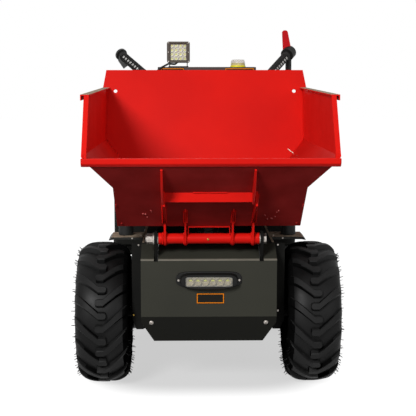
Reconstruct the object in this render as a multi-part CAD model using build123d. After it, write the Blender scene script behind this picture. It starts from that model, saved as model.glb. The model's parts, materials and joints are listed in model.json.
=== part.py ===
"""Walk-behind electric site dumper: red tipping skip over a narrow two-wheel-drive chassis.

Millimetres. +Z up, the ground at Z 0, the skip lip towards -Y and the operator at +Y.
Every shape is drawn with Y 0 at the front axle and moved at the end, so that the origin
sits at the middle of the overall length and width.
"""
import math
import os

from build123d import *

# front wheels
tyre_r = 206.5
tyre_w = 158.0
tyre_shoulder_r = 26.0
rim_r = 101.0
rim_w = 126.0
wheel_gap = 35.0
hub_r = 42.0
hub_len = 84.0
stub_r = 15.0
stub_fit = 0.05
wheel_disc_t = 5.0
wheel_disc_in = 18.0

# rear swivel castors
castor_r = 130.0
castor_w = 80.0
castor_shoulder_r = 22.0
castor_rim_r = 62.0
castor_x = 262.0
castor_y = 600.0
castor_trail = 50.0
castor_hub_r = 24.0
castor_axle_r = 8.0
castor_axle_fit = 0.05
fork_t = 8.0
fork_gap = 7.0
fork_w = 46.0
crown_gap = 24.0
crown_t = 12.0
head_h = 16.0
head_r = 38.0
head_fit = 0.3
swivel_pin_r = 11.0
swivel_fit = 0.05
top_plate_t = 8.0
top_plate_l = 110.0
top_plate_w = 92.0

# chassis
rail_h = 60.0
rail_wall = 3.0
rail_front_y = -115.0
arm_gap = 7.0
arm_t = 8.0
arm_y0 = 2.0
arm_y1 = 104.0
arm_out_x = 283.0
arm_leg_out = 9.0
arm_leg_clear = 5.5
arm_leg_t = 5.0
drop_t = 6.0
drop_back_y = 95.0
drop_below_axle = 32.0
cross_w = 40.0
cross_y = 222.0
rear_beam_h = 25.0
rear_beam_y = 95.0
rear_beam_x = 312.0

# front panel, a folded sheet
panel_half = 189.5
panel_t = 4.0
panel_face_y = -200.0
panel_bend_down = 32.0
panel_low_bend_down = 195.0
panel_bottom_down = 278.0
panel_tuck_y = -140.0
panel_top_y = -122.0
panel_top_up = 1.0
panel_chamfer_w = 34.5
panel_chamfer_h = 64.0
panel_bend_r = 7.0
panel_return = 32.0
lamp_bar_down = 91.0
lamp_bar_l = 183.0
lamp_bar_h = 51.0
lamp_bar_d = 26.0
lamp_lens_l = 130.0
lamp_lens_h = 28.0
lamp_lens_r = 2.0
plate_down = 142.0
plate_l = 78.0
plate_h = 30.0
plate_t = 1.5

# tipping pivot
pivot_y = -200.0
pivot_rise = 27.0
pivot_tube_r = 14.5
pivot_collar_r = 16.0
pivot_collar_l = 8.0
pivot_tube_half = 139.5
pivot_pin_r = 10.0
pivot_fit = 0.05
ear_in_x = 143.0
ear_t = 8.0
ear_r = 22.0
ear_drop = 90.0
washer_t = 3.0
pin_head_r = 15.0
pin_head_l = 8.0
pin_nut_l = 17.0
nut_washer_t = 4.0

# skip
skip_half = 325.0
skip_low_half = 252.5
skip_t = 3.0
floor_t = 4.0
floor_rise = 36.5
chine_low_up = 127.5
chine_high_up = 214.0
chine_fall = 17.5
rim_up = 362.5
floor_front_y = -210.0
floor_back_y = 300.0
lip_y = -487.0
lip_face_up = 196.0
lip_top_up = 210.0
lip_t = 8.0
mouth_top_y = -380.0
back_top_y = 470.0
back_top_up = 422.5
back_top_half = 323.0
back_ear_half = 334.5
back_hole_x = 293.5
back_hole_up = 354.0
back_hole_r = 6.0
back_edge = 18.0
rim_out = 9.5
rim_in = 10.0
rim_drop = 15.0
band_w = 10.0
outer_rib_x = 121.5
outer_rib_t = 6.0
outer_tip_s = 0.585
outer_tip_z_up = 74.5
inner_rib_x = 65.2
inner_rib_t = 5.0
inner_tip_s = 0.296
inner_tip_z_up = 49.5
rib_foot_y = -232.0
rib_foot_up = 14.5
rib_end_r = 20.0
cross_s = 0.567
cross_drop = 26.0
cross_rib_t = 5.0
stay_left_x = 112.5
stay_right_x = -125.0
stay_t = 6.0
stay_knee_s = 0.801
stay_knee_drop = 36.0
floor_bar_h = 20.0
floor_bar_back = 210.0
catch_half = 58.5
catch_t = 5.0
catch_bar = 3.0
catch_leg = 2.5

# tipping actuator
act_base_y = 210.0
act_base_z = 180.0
act_pin_y = -95.0
act_pin_up = 15.0
barrel_r = 27.0
barrel_start = 40.0
barrel_len = 262.0
rod_r = 11.0
eye_r = 17.0
eye_w = 26.0
act_pin_r = 8.0
act_fit = 0.05
lug_t = 8.0
lug_gap = 1.5

# drive
axle_tube_r = 32.0
drive_r = 66.0
drive_len = 210.0
hub_flange_r = 52.0
hub_flange_t = 10.0

# battery box, column and console
box_half = 300.0
box_front_y = 380.0
box_back_y = 705.0
box_h = 255.0
box_corner_r = 40.0
box_wall = 3.0
lid_t = 4.0
lid_over = 6.0
battery_l = 250.0
battery_w = 165.0
battery_h = 205.0
column_half = 150.0
column_y0 = 590.0
column_y1 = 690.0
column_wall = 3.0
column_h = 257.0
console_x0 = -158.0
console_x1 = 177.0
console_y0 = 575.0
console_y1 = 745.0
console_h = 62.0
console_drop = 22.0
console_flat = 84.0

# handlebars, with ribbed grips between the console and their outer ends
bar_r = 11.0
bar_centre_x = 7.8
bar_base_x = 150.0
bar_base_y = 700.0
bar_base_drop = 30.0
bar_knee_mid = 13.3
bar_knee_x = 214.0
bar_knee_y = 715.0
bar_knee_drop = 32.5
bar_end_mid = 5.3
bar_end_x = 306.7
bar_end_y = 860.0
bar_end_rise = 48.0
grip_r = 16.0
grip_len = 158.0
cap_r = 24.0
cap_len = 14.0
switch_d = 26.0
house_r = 24.0
house_len = 30.0
post_r = 11.0
post_h = 42.0
lever_h = 59.0
lever_w = 33.0
lever_tip_w = 20.0
lever_lean = 14.7
lever_base_lean = 3.7
lever_t = 7.0

# lights on the console
light_x = -87.5
light_y = 604.0
light_w = 78.0
light_h = 72.0
light_d = 42.0
light_up = 14.0
light_lens = 53.0
light_leg_x = 30.0
beacon_x = 117.0
beacon_y = 622.0
beacon_r = 26.5
beacon_base_h = 8.0
beacon_h = 18.0
cable_r = 3.2
cable_bend_r = 9.0

# splash plates beside the front panel
splash_y = -114.0
splash_t = 4.0
splash_clear = 6.0
splash_low = 178.0

# rubber rests
buffer_r = 22.0
buffer_x = 242.5
buffer_y = 52.0
rest_clear = 0.5

# towing eye
tow_t = 12.0
tow_half = 28.0
tow_out = 48.0
tow_hole_r = 11.0
tow_z_up = 38.0

# levels that follow from the sizes above
wheel_x = panel_half + wheel_gap + tyre_w / 2
axle_z = tyre_r
arm_z = 2 * tyre_r + arm_gap
rail_top = arm_z + arm_t
rail_z = rail_top - rail_h
rail_in_x = ear_in_x + ear_t
rail_out_x = panel_half
pivot_z = rail_top + pivot_rise
floor_z = pivot_z + floor_rise
crown_z = 2 * castor_r + crown_gap
head_z = crown_z + crown_t
plate_z = head_z + head_h
beam_z = plate_z + top_plate_t
box_z = beam_z + rear_beam_h
box_top = box_z + box_h
console_z = box_top + lid_t + column_h
console_top = console_z + console_h


def slab(x0, x1, y0, y1, z0, z1):
    return Pos((x0 + x1) / 2, (y0 + y1) / 2, (z0 + z1) / 2) * Box(x1 - x0, y1 - y0, z1 - z0)


def rod_x(r, x0, x1, y, z):
    return Pos((x0 + x1) / 2, y, z) * Rot(0, 90, 0) * Cylinder(r, x1 - x0)


def rod_z(r, x, y, z0, z1):
    return Pos(x, y, (z0 + z1) / 2) * Cylinder(r, z1 - z0)


def rod_between(r, a, b):
    a, b = Vector(*a), Vector(*b)
    return Plane(origin=(a + b) * 0.5, z_dir=b - a) * Cylinder(r, (b - a).length)


def side_plate(points, x0, x1):
    """A plate across X from x0 to x1 whose outline is given as (Y, Z) points."""
    face = make_face(Polyline([(y, z) for y, z in points], close=True).edges())
    return Plane(origin=(x0, 0, 0), x_dir=(0, 1, 0), z_dir=(1, 0, 0)) * extrude(face, x1 - x0)


def end_plate(points, y0, y1, fall=0.0):
    """A plate along Y from y0 to y1 whose outline, as (X, Z) points, sinks by fall on the way."""
    face = make_face(Polyline([(x, -z) for x, z in points], close=True).edges())
    solid = extrude(face, math.hypot(y1 - y0, fall), dir=(0, fall, y1 - y0))
    return Plane(origin=(0, y0, 0), x_dir=(1, 0, 0), z_dir=(0, 1, 0)) * solid


def turned(points, x, y, z):
    """A body of revolution about the X axis through (x, y, z), from (along X, radius) points."""
    face = make_face(Polyline([(a, r) for a, r in points], close=True).edges())
    return Pos(x, y, z) * revolve(face, axis=Axis.X)


def flip(shape):
    return mirror(shape, about=Plane.YZ)


def offset_line(points, depth):
    """The open outline moved sideways by depth, square to each of its legs, mitred at bends."""
    lines = []
    for (x0, z0), (x1, z1) in zip(points, points[1:]):
        d = math.hypot(x1 - x0, z1 - z0)
        nx, nz = -(z1 - z0) / d * depth, (x1 - x0) / d * depth
        lines.append(((x0 + nx, z0 + nz), (x1 + nx, z1 + nz)))
    out = [lines[0][0]]
    for (a, b), (c, d) in zip(lines, lines[1:]):
        ux, uz, vx, vz = b[0] - a[0], b[1] - a[1], d[0] - c[0], d[1] - c[1]
        t = ((c[0] - a[0]) * vz - (c[1] - a[1]) * vx) / (ux * vz - uz * vx)
        out.append((a[0] + t * ux, a[1] + t * uz))
    out.append(lines[-1][1])
    return out


def sheet(points, depth):
    return points + offset_line(points, depth)[::-1]


def folded_plate(points, depth, radius, x0, x1):
    """A bent sheet across X, with its outline given as (Y, Z) points and each bend rounded."""
    inner = offset_line(points, depth)
    face = make_face(Polyline([(y, z) for y, z in points + inner[::-1]], close=True).edges())
    for line, r in ((points, radius), (inner, radius - depth)):
        for y, z in line[1:-1]:
            corner = sorted(face.vertices(), key=lambda v: math.hypot(v.X - y, v.Y - z))[0]
            face = fillet(corner, r)
    return Plane(origin=(x0, 0, 0), x_dir=(0, 1, 0), z_dir=(1, 0, 0)) * extrude(face, x1 - x0)


nodes = {}


def add_to(name, solid):
    """Join another solid to a node, or start the node with it."""
    nodes[name] = nodes[name] + solid if name in nodes else solid


# ---------------------------------------------------------------- front wheels


def tyre(r, w, inner, bead_w, shoulder):
    profile = [
        (-bead_w / 2, inner), (-w / 2 + 3, inner + (r - inner) * 0.30), (-w / 2, inner + (r - inner) * 0.55),
        (-w / 2 + 3, r - shoulder), (-w / 2 + 10, r - shoulder * 0.42), (-w / 2 + shoulder, r - 3),
        (-w / 6, r), (w / 6, r), (w / 2 - shoulder, r - 3), (w / 2 - 10, r - shoulder * 0.42),
        (w / 2 - 3, r - shoulder), (w / 2, inner + (r - inner) * 0.55), (w / 2 - 3, inner + (r - inner) * 0.30),
        (bead_w / 2, inner)]
    return profile


def rim(r, w, disc_x, disc_t, hub, lip=7.0, wall=4.0):
    """Rim barrel with two flanges and a disc that reaches in to the hub."""
    return [
        (-w / 2, r - wall), (-w / 2, r + 0), (w / 2, r + 0), (w / 2, r - wall),
        (disc_x + disc_t, r - wall), (disc_x + disc_t, hub), (disc_x, hub), (disc_x, r - wall)]


for side, sx in (("left", 1), ("right", -1)):
    x = wheel_x
    casing = turned(tyre(tyre_r, tyre_w, rim_r, rim_w, tyre_shoulder_r), x, 0, axle_z)
    wheel = turned(rim(rim_r, rim_w, wheel_disc_in, wheel_disc_t, hub_r), x, 0, axle_z)
    disc_x = x + wheel_disc_in
    hub = rod_x(hub_r, disc_x - hub_len, disc_x + wheel_disc_t + 12, 0, axle_z)
    hub = hub - rod_x(stub_r + stub_fit, disc_x - hub_len, disc_x + wheel_disc_t + 4, 0, axle_z)
    wheel = wheel + hub
    nodes["front_tyre_" + side] = casing if sx > 0 else flip(casing)
    nodes["front_rim_" + side] = wheel if sx > 0 else flip(wheel)

# ---------------------------------------------------------------- chassis

panel_outline = [
    (panel_top_y, rail_top + panel_top_up), (panel_face_y, rail_top - panel_bend_down),
    (panel_face_y, rail_top - panel_low_bend_down), (panel_tuck_y, rail_top - panel_bottom_down)]
tuck_slope = (panel_tuck_y - panel_face_y) / (panel_bottom_down - panel_low_bend_down)
stub_end = wheel_x + wheel_disc_in + wheel_disc_t + 2
drop_x1 = panel_half - panel_t
drop_x0 = drop_x1 - drop_t


def panel_inner_y(z):
    """How far back the inside of the front panel is at height z."""
    inner = offset_line(panel_outline, panel_t)
    if z >= inner[2][1]:
        return panel_face_y + panel_t
    return inner[2][0] + (inner[2][1] - z) * tuck_slope


for side, sx in (("left", 1), ("right", -1)):
    rail = slab(rail_in_x, rail_out_x, rail_front_y, box_front_y, rail_z, rail_top)
    rail = rail - slab(rail_in_x + rail_wall, rail_out_x - rail_wall, rail_front_y + rail_wall, box_front_y,
                       rail_z + rail_wall, rail_top - rail_wall)
    low = axle_z - drop_below_axle
    drop = side_plate([
        (panel_inner_y(rail_z), rail_z), offset_line(panel_outline, panel_t)[2],
        (panel_inner_y(axle_z + 8), axle_z + 8), (-hub_flange_r, low), (hub_flange_r, low),
        (drop_back_y, axle_z + 40), (drop_back_y, rail_z)], drop_x0, drop_x1)
    drop = drop - rod_x(axle_tube_r - 8, drop_x0, drop_x1, 0, axle_z)
    stub = rod_x(stub_r, drop_x1 + hub_flange_t, stub_end, 0, axle_z)
    flange = rod_x(hub_flange_r, drop_x1, drop_x1 + hub_flange_t, 0, axle_z)
    ear_top = side_plate([
        (rail_front_y + 60, rail_z), (rail_front_y + 60, rail_top), (pivot_y + ear_r * 0.50, pivot_z + ear_r * 0.866),
        (pivot_y - ear_r * 0.94, pivot_z - ear_r * 0.34), (panel_face_y + 14, rail_top - panel_bend_down - 3),
        (panel_face_y + 14, rail_z)],
        ear_in_x, ear_in_x + ear_t)
    ear = ear_top + rod_x(ear_r, ear_in_x, ear_in_x + ear_t, pivot_y, pivot_z)
    ear = ear - rod_x(pivot_pin_r, ear_in_x, ear_in_x + ear_t, pivot_y, pivot_z)
    splash_out = wheel_x - tyre_w / 2 - splash_clear
    splash = end_plate([
        (drop_x0, rail_z), (drop_x0, rail_top), (splash_out, rail_top), (splash_out, splash_low + 30),
        (splash_out - 12, splash_low), (drop_x1, splash_low), (drop_x1, axle_z)], splash_y, splash_y + splash_t)
    leg_z = 2 * tyre_r + arm_leg_clear
    arm = end_plate([
        (rail_out_x, arm_z), (rail_out_x, rail_top), (arm_out_x, rail_top), (arm_out_x + arm_leg_out, leg_z),
        (arm_out_x + arm_leg_out - arm_leg_t, leg_z), (arm_out_x - arm_leg_t, arm_z)], arm_y0, arm_y1)
    buffer_top = floor_z - rest_clear
    rubber = rod_z(buffer_r, buffer_x, buffer_y, rail_top, buffer_top)
    pieces = {"chassis_rails": rail + drop + splash, "axle": stub + flange, "pivot_ears": ear,
              "rest_arms": arm, "rest_buffers": rubber}
    for name, solid in pieces.items():
        add_to(name, solid if sx > 0 else flip(solid))

front_cross = slab(-drop_x0, drop_x0, panel_inner_y(rail_z) + 22, panel_inner_y(rail_z) + 22 + cross_w,
                   rail_z - 50, rail_z - 10)
mid_cross = slab(-rail_in_x, rail_in_x, cross_y, cross_y + cross_w, rail_z + 8, rail_z + 8 + cross_w)
lug_x = eye_w / 2 + lug_gap
lug_low = act_base_z - eye_r - 4
lugs = []
for sx in (1, -1):
    lug = side_plate([
        (cross_y, rail_z + 8), (cross_y - 8, act_base_z + 70), (act_base_y - eye_r - 3, act_base_z + 6),
        (act_base_y - 10, lug_low), (act_base_y + 10, lug_low), (act_base_y + eye_r + 8, act_base_z),
        (cross_y + cross_w, rail_z - 60), (cross_y + cross_w, rail_z + 8)],
        lug_x, lug_x + lug_t)
    lug = lug - rod_x(act_pin_r, lug_x, lug_x + lug_t, act_base_y, act_base_z)
    lugs.append(lug if sx > 0 else flip(lug))
nodes["front_crossmember"] = front_cross
nodes["actuator_crossmember"] = mid_cross + lugs[0] + lugs[1] \
    + rod_x(act_pin_r, -lug_x - lug_t - 6, lug_x + lug_t + 6, act_base_y, act_base_z)
nodes["castor_beam"] = slab(-rear_beam_x, rear_beam_x, castor_y - rear_beam_y / 2, castor_y + rear_beam_y / 2,
                                 beam_z, box_z)

# front panel: upper slope, flat face, tucked foot and two returned sides
panel = folded_plate(panel_outline, panel_t, panel_bend_r, -panel_half, panel_half)
for sx in (1, -1):
    ret = side_plate([
        (panel_face_y + panel_t / 2, rail_top - panel_bend_down - 2),
        (panel_face_y + panel_return, rail_top - panel_bend_down - 2),
        (panel_face_y + panel_return, rail_top - panel_low_bend_down - 14),
        (panel_face_y + panel_t / 2 + 14 * tuck_slope, rail_top - panel_low_bend_down - 14),
        (panel_face_y + panel_t / 2, rail_top - panel_low_bend_down)],
        panel_half - panel_t, panel_half)
    panel = panel + (ret if sx > 0 else flip(ret))
    corner_z = rail_top - panel_bottom_down
    corner = end_plate([
        (panel_half + 1, corner_z - 1), (panel_half - panel_chamfer_w, corner_z - 1),
        (panel_half - panel_chamfer_w, corner_z), (panel_half, corner_z + panel_chamfer_h),
        (panel_half + 1, corner_z + panel_chamfer_h)], panel_face_y - 10, panel_tuck_y + 10)
    panel = panel - (corner if sx > 0 else flip(corner))
    notch = slab(ear_in_x - 2, ear_in_x + ear_t + 2, panel_face_y - 10, panel_top_y + 20,
                 rail_top - panel_bend_down - 6, rail_top + panel_top_up + 10)
    panel = panel - (notch if sx > 0 else flip(notch))
nodes["front_panel"] = panel

lamp_z = rail_top - lamp_bar_down
bezel = slab(-lamp_bar_l / 2, lamp_bar_l / 2, panel_face_y - lamp_bar_d, panel_face_y, lamp_z - lamp_bar_h / 2,
             lamp_z + lamp_bar_h / 2)
bezel = fillet(bezel.edges().filter_by(Axis.Y), lamp_bar_h * 0.36)
bezel = fillet(bezel.faces().sort_by(Axis.Y)[0].edges(), 5.0)
lens_cut = slab(-lamp_lens_l / 2, lamp_lens_l / 2, panel_face_y - lamp_bar_d, panel_face_y - lamp_bar_d + 8,
                lamp_z - lamp_lens_h / 2, lamp_z + lamp_lens_h / 2)
lens_cut = fillet(lens_cut.edges().filter_by(Axis.Y), lamp_lens_r)
lens = slab(-lamp_lens_l / 2, lamp_lens_l / 2, panel_face_y - lamp_bar_d + 4.5, panel_face_y - lamp_bar_d + 8,
            lamp_z - lamp_lens_h / 2, lamp_z + lamp_lens_h / 2)
nodes["front_lamp_body"] = bezel - lens_cut
nodes["front_lamp_lens"] = fillet(lens.edges().filter_by(Axis.Y), lamp_lens_r)
blank = slab(4 - plate_l / 2, 4 + plate_l / 2, panel_face_y - plate_t, panel_face_y, rail_top - plate_down - plate_h / 2,
             rail_top - plate_down + plate_h / 2)
nodes["blank_plate"] = fillet(blank.edges().filter_by(Axis.Y), 3.0)

# drive unit on the axle line
axle_tube = rod_x(axle_tube_r, -drop_x0, drop_x0, 0, axle_z)
drive = rod_x(drive_r, -drive_len / 2, drive_len / 2, 0, axle_z)
bores = rod_x(axle_tube_r - 8, -drop_x1, drop_x1, 0, axle_z)
nodes["drive_unit"] = axle_tube + drive + bores + nodes.pop("axle")

# pivot pin with its head, nut and washers
pin_out = ear_in_x + ear_t
nut_in = -pin_out - nut_washer_t
pin = rod_x(pivot_pin_r, nut_in - pin_nut_l - 3, pin_out + 1, pivot_y, pivot_z)
head = Pos(pin_out + pin_head_l / 2, pivot_y, pivot_z) * Rot(0, 90, 0) * extrude(
    RegularPolygon(pin_head_r, 6), pin_head_l / 2, both=True)
nut = Pos(nut_in - pin_nut_l / 2, pivot_y, pivot_z) * Rot(0, 90, 0) * extrude(
    RegularPolygon(pin_head_r, 6), pin_nut_l / 2, both=True)
washers = rod_x(pin_head_r, ear_in_x - washer_t, ear_in_x, pivot_y, pivot_z) + \
    rod_x(pin_head_r, -ear_in_x, -ear_in_x + washer_t, pivot_y, pivot_z) + \
    rod_x(pin_head_r + 2, nut_in, -pin_out, pivot_y, pivot_z)
nodes["pivot_bolt"] = pin + head + nut + washers

# ---------------------------------------------------------------- skip

chine_low = floor_z + chine_low_up
chine_high = floor_z + chine_high_up
rim_z = floor_z + rim_up
lip_face_z = floor_z + lip_face_up
lip_top_z = floor_z + lip_top_up
back_top_z = floor_z + back_top_up
ramp_dy, ramp_dz = lip_y - floor_front_y, lip_face_z - floor_z
ramp_len = math.hypot(ramp_dy, ramp_dz)
ramp_uy, ramp_uz = ramp_dy / ramp_len, ramp_dz / ramp_len
back_slope = (back_top_y - floor_back_y) / back_top_up
mouth_slope = (mouth_top_y - lip_y) / (rim_z - lip_top_z)


def ramp_at(s, depth=0.0):
    """A (Y, Z) point s of the way up the front plate and depth below its underside."""
    return (floor_front_y + ramp_dy * s - ramp_uz * depth, floor_z + ramp_dz * s + ramp_uy * depth)


def back_y(z):
    return floor_back_y + (z - floor_z) * back_slope


# the outside of the skip, as a section that starts before the lip and sinks towards the back with its chine
body_y0, body_y1 = lip_y - 50, back_top_y + 50
chine_slope = chine_fall / (back_top_y - lip_y)
lift = chine_slope * (lip_y - body_y0)
section = [(skip_low_half, floor_z - 60), (skip_low_half, chine_low + lift), (skip_half, chine_high + lift),
           (skip_half, rim_z + 40)]
body_fall = chine_slope * (body_y1 - body_y0)
outside = end_plate(section + [(-x, z) for x, z in section[::-1]], body_y0, body_y1, body_fall)

wall = end_plate(sheet(section, skip_t), body_y0, body_y1, body_fall)
wall_z = floor_z + floor_t
side_outline = [
    (floor_front_y, wall_z), ramp_at(1.0), (lip_y, lip_top_z), (mouth_top_y, rim_z), (back_y(rim_z), rim_z),
    (back_y(wall_z), wall_z)]
wall = wall & side_plate(side_outline, 0, skip_half + 5)
wall = wall - side_plate([ramp_at(-0.2, -floor_t), ramp_at(1.2, -floor_t), ramp_at(1.2, 60), ramp_at(-0.2, 60)],
                         0, skip_half + 5)

floor = slab(-skip_low_half, skip_low_half, floor_front_y, floor_back_y, floor_z, floor_z + floor_t)
nodes["skip_floor"] = floor

ramp = side_plate([ramp_at(0.0), ramp_at(1.0), ramp_at(1.0, -floor_t), ramp_at(0.0, -floor_t)], -skip_half, skip_half)
nodes["skip_front_plate"] = (ramp & outside) - slab(-skip_half, skip_half, floor_front_y, 0, floor_z - 20, floor_z + floor_t)

lip = side_plate([
    (lip_y, lip_top_z), (lip_y + lip_t, lip_top_z), (lip_y + lip_t, lip_face_z + 2), (lip_y + 14, lip_face_z - 8),
    (lip_y + 8, lip_face_z - 8), (lip_y, lip_face_z)], -skip_half - 1, skip_half + 1)
nodes["skip_lip"] = lip
nodes["skip_front_plate"] = nodes["skip_front_plate"] - lip

# back panel with its two ears, square to its own slope
back_t = skip_t
slope_len = math.hypot(back_top_y - floor_back_y, back_top_up)
by, bz = (back_top_y - floor_back_y) / slope_len, back_top_up / slope_len
back = side_plate([
    (floor_back_y, floor_z), (back_top_y, back_top_z), (back_top_y + back_t * bz, back_top_z - back_t * by),
    (floor_back_y + back_t * bz, floor_z - back_t * by)], -skip_half - 30, skip_half + 30)
ears = end_plate([
    (back_ear_half, rim_z - rim_drop), (back_ear_half, rim_z + 4), (back_top_half, back_top_z + 10),
    (-back_top_half, back_top_z + 10), (-back_ear_half, rim_z + 4), (-back_ear_half, rim_z - rim_drop)],
    floor_back_y, body_y1)
back = (back & outside) + (back & ears)
for sx in (1, -1):
    hole_z = floor_z + back_hole_up
    hole = Plane(origin=(sx * back_hole_x, back_y(hole_z), hole_z), z_dir=(0, bz, -by)) * Cylinder(back_hole_r, 30)
    back = back - hole
edge = side_plate([
    (back_top_y + 1, back_top_z - 1), (back_top_y + back_edge, back_top_z - 6), (back_top_y + back_edge, back_top_z - 6 - back_t),
    (back_top_y + 1, back_top_z - 2 - back_t)], -back_top_half + 1, back_top_half - 1)
nodes["skip_back"] = back + edge

# rims along the tops of the sides, and bands down their front edges
rim_top = slab(skip_half - skip_t - rim_in, skip_half + rim_out, mouth_top_y, back_y(rim_z) + 2, rim_z, rim_z + skip_t)
rim_side = slab(skip_half + rim_out - skip_t, skip_half + rim_out, mouth_top_y, back_y(rim_z) - 1, rim_z - rim_drop + skip_t,
                rim_z + skip_t)
rim_piece = rim_top + rim_side
rim_piece = rim_piece & side_plate([
    (mouth_top_y, rim_z - 40), (mouth_top_y, rim_z + 10), (back_y(rim_z + 10) - 0, rim_z + 10),
    (back_y(rim_z - 40) - 0, rim_z - 40)], 0, skip_half + 40)
band = side_plate([
    (lip_y + lip_t, lip_top_z - 6), (lip_y + lip_t, lip_top_z + (lip_t / mouth_slope)),
    (mouth_top_y, rim_z), (mouth_top_y + 5, rim_z), (lip_y + lip_t + 5, lip_top_z - 6)],
    skip_half - skip_t - band_w, skip_half - skip_t)
nodes["skip_side_left"] = wall + rim_piece + band - lip
nodes["skip_side_right"] = flip(nodes["skip_side_left"])

# hinge plates under the front plate, with a cross plate and two stays that run on up to the lip
def hinge_plate(tip_s, tip_z, x, t):
    plate = side_plate([
        ramp_at(-0.02), ramp_at(tip_s), (ramp_at(tip_s)[0], tip_z), (rib_foot_y, floor_z + rib_foot_up),
        (pivot_y - rib_end_r, pivot_z), (pivot_y, pivot_z), (pivot_y + 8, floor_z)], x - t / 2, x + t / 2)
    plate = plate + rod_x(rib_end_r, x - t / 2, x + t / 2, pivot_y, pivot_z)
    return plate - rod_x(pivot_tube_r, x - t, x + t, pivot_y, pivot_z)


def stay(x):
    low_y, low_z = ramp_at(outer_tip_s)
    knee_y, knee_z = ramp_at(stay_knee_s)
    return side_plate([
        (low_y, low_z), ramp_at(0.925), ramp_at(0.925, 4), (knee_y, knee_z - stay_knee_drop),
        (low_y, low_z - stay_knee_drop)], x - stay_t / 2, x + stay_t / 2)


outer = hinge_plate(outer_tip_s, floor_z + outer_tip_z_up, outer_rib_x, outer_rib_t)
inner = hinge_plate(inner_tip_s, floor_z + inner_tip_z_up, inner_rib_x, inner_rib_t)
front_y, cross_top = ramp_at(cross_s)
back_side_y, cross_back = ramp_at(cross_s + cross_rib_t / ramp_dy)
cross = side_plate([
    (front_y, cross_top), (front_y, cross_top - cross_drop), (back_side_y, cross_top - cross_drop),
    (back_side_y, cross_back)], -outer_rib_x - outer_rib_t / 2, outer_rib_x - outer_rib_t / 2)
nodes["skip_ribs"] = cross + stay(stay_left_x) + stay(stay_right_x) + outer + flip(outer) + inner + flip(inner)

bars = slab(inner_rib_x - inner_rib_t / 2, inner_rib_x + inner_rib_t / 2, pivot_y, floor_bar_back, floor_z - floor_bar_h,
            floor_z)
nodes["skip_ribs"] = nodes["skip_ribs"] + bars + flip(bars)
tube = rod_x(pivot_tube_r, -pivot_tube_half, pivot_tube_half, pivot_y, pivot_z)
for sx in (1, -1):
    collar = rod_x(pivot_collar_r, pivot_tube_half - pivot_collar_l, pivot_tube_half, pivot_y, pivot_z)
    tube = tube + (collar if sx > 0 else flip(collar))
nodes["pivot_tube"] = tube - rod_x(pivot_pin_r + pivot_fit, -pivot_tube_half, pivot_tube_half, pivot_y, pivot_z)

catch_y = pivot_y - pivot_tube_r * 0.55
catch_low = pivot_z + pivot_tube_r * 0.80
catch_top = floor_z - 1.0
catch = slab(-catch_half, catch_half, catch_y - catch_t, catch_y, catch_top - catch_bar, floor_z)
for sx in (1, -1):
    leg = slab(catch_half - catch_leg, catch_half, catch_y - catch_t, catch_y, catch_low, floor_z)
    catch = catch + (leg if sx > 0 else flip(leg))
catch = catch - rod_x(pivot_tube_r, -catch_half, catch_half, pivot_y, pivot_z)
nodes["pivot_tube"] = nodes["pivot_tube"] + catch

pin_z = pivot_z + act_pin_up
rod_lugs = []
for sx in (1, -1):
    lug = side_plate([
        (act_pin_y - 34, floor_z), (act_pin_y - 18, pin_z - 12), (act_pin_y - 8, pin_z - 19), (act_pin_y + 8, pin_z - 19),
        (act_pin_y + 18, pin_z - 12), (act_pin_y + 34, floor_z)], lug_x, lug_x + lug_t)
    lug = lug + rod_x(act_pin_r + 4, lug_x + lug_t, lug_x + lug_t + 7, act_pin_y, pin_z)
    rod_lugs.append(lug if sx > 0 else flip(lug))
nodes["skip_rod_lugs"] = rod_lugs[0] + rod_lugs[1]

# ---------------------------------------------------------------- actuator

base = Vector(0, act_base_y, act_base_z)
tip = Vector(0, act_pin_y, pin_z)
run = (tip - base).normalized()
reach = (tip - base).length


def along(d, dx=0.0):
    p = base + run * d
    return (dx, p.Y, p.Z)


barrel = rod_between(barrel_r, along(barrel_start), along(barrel_len))
barrel = barrel - rod_between(rod_r + act_fit, along(barrel_start + 14), along(barrel_len))
eye = rod_x(eye_r, -eye_w / 2, eye_w / 2, act_base_y, act_base_z) + rod_between(11, along(2), along(barrel_start + 1))
barrel = barrel + eye - rod_x(act_pin_r + act_fit, -eye_w / 2, eye_w / 2, act_base_y, act_base_z)
nodes["actuator_barrel"] = barrel
rod = rod_between(rod_r, along(barrel_start + 20), along(reach - eye_r + 4))
rod_eye = rod_x(eye_r, -eye_w / 2, eye_w / 2, act_pin_y, pin_z) - rod_x(act_pin_r + act_fit, -eye_w / 2, eye_w / 2,
                                                                       act_pin_y, pin_z)
nodes["actuator_rod"] = rod + rod_eye - rod_x(act_pin_r + act_fit, -eye_w / 2, eye_w / 2, act_pin_y, pin_z)

# ---------------------------------------------------------------- castors

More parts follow.
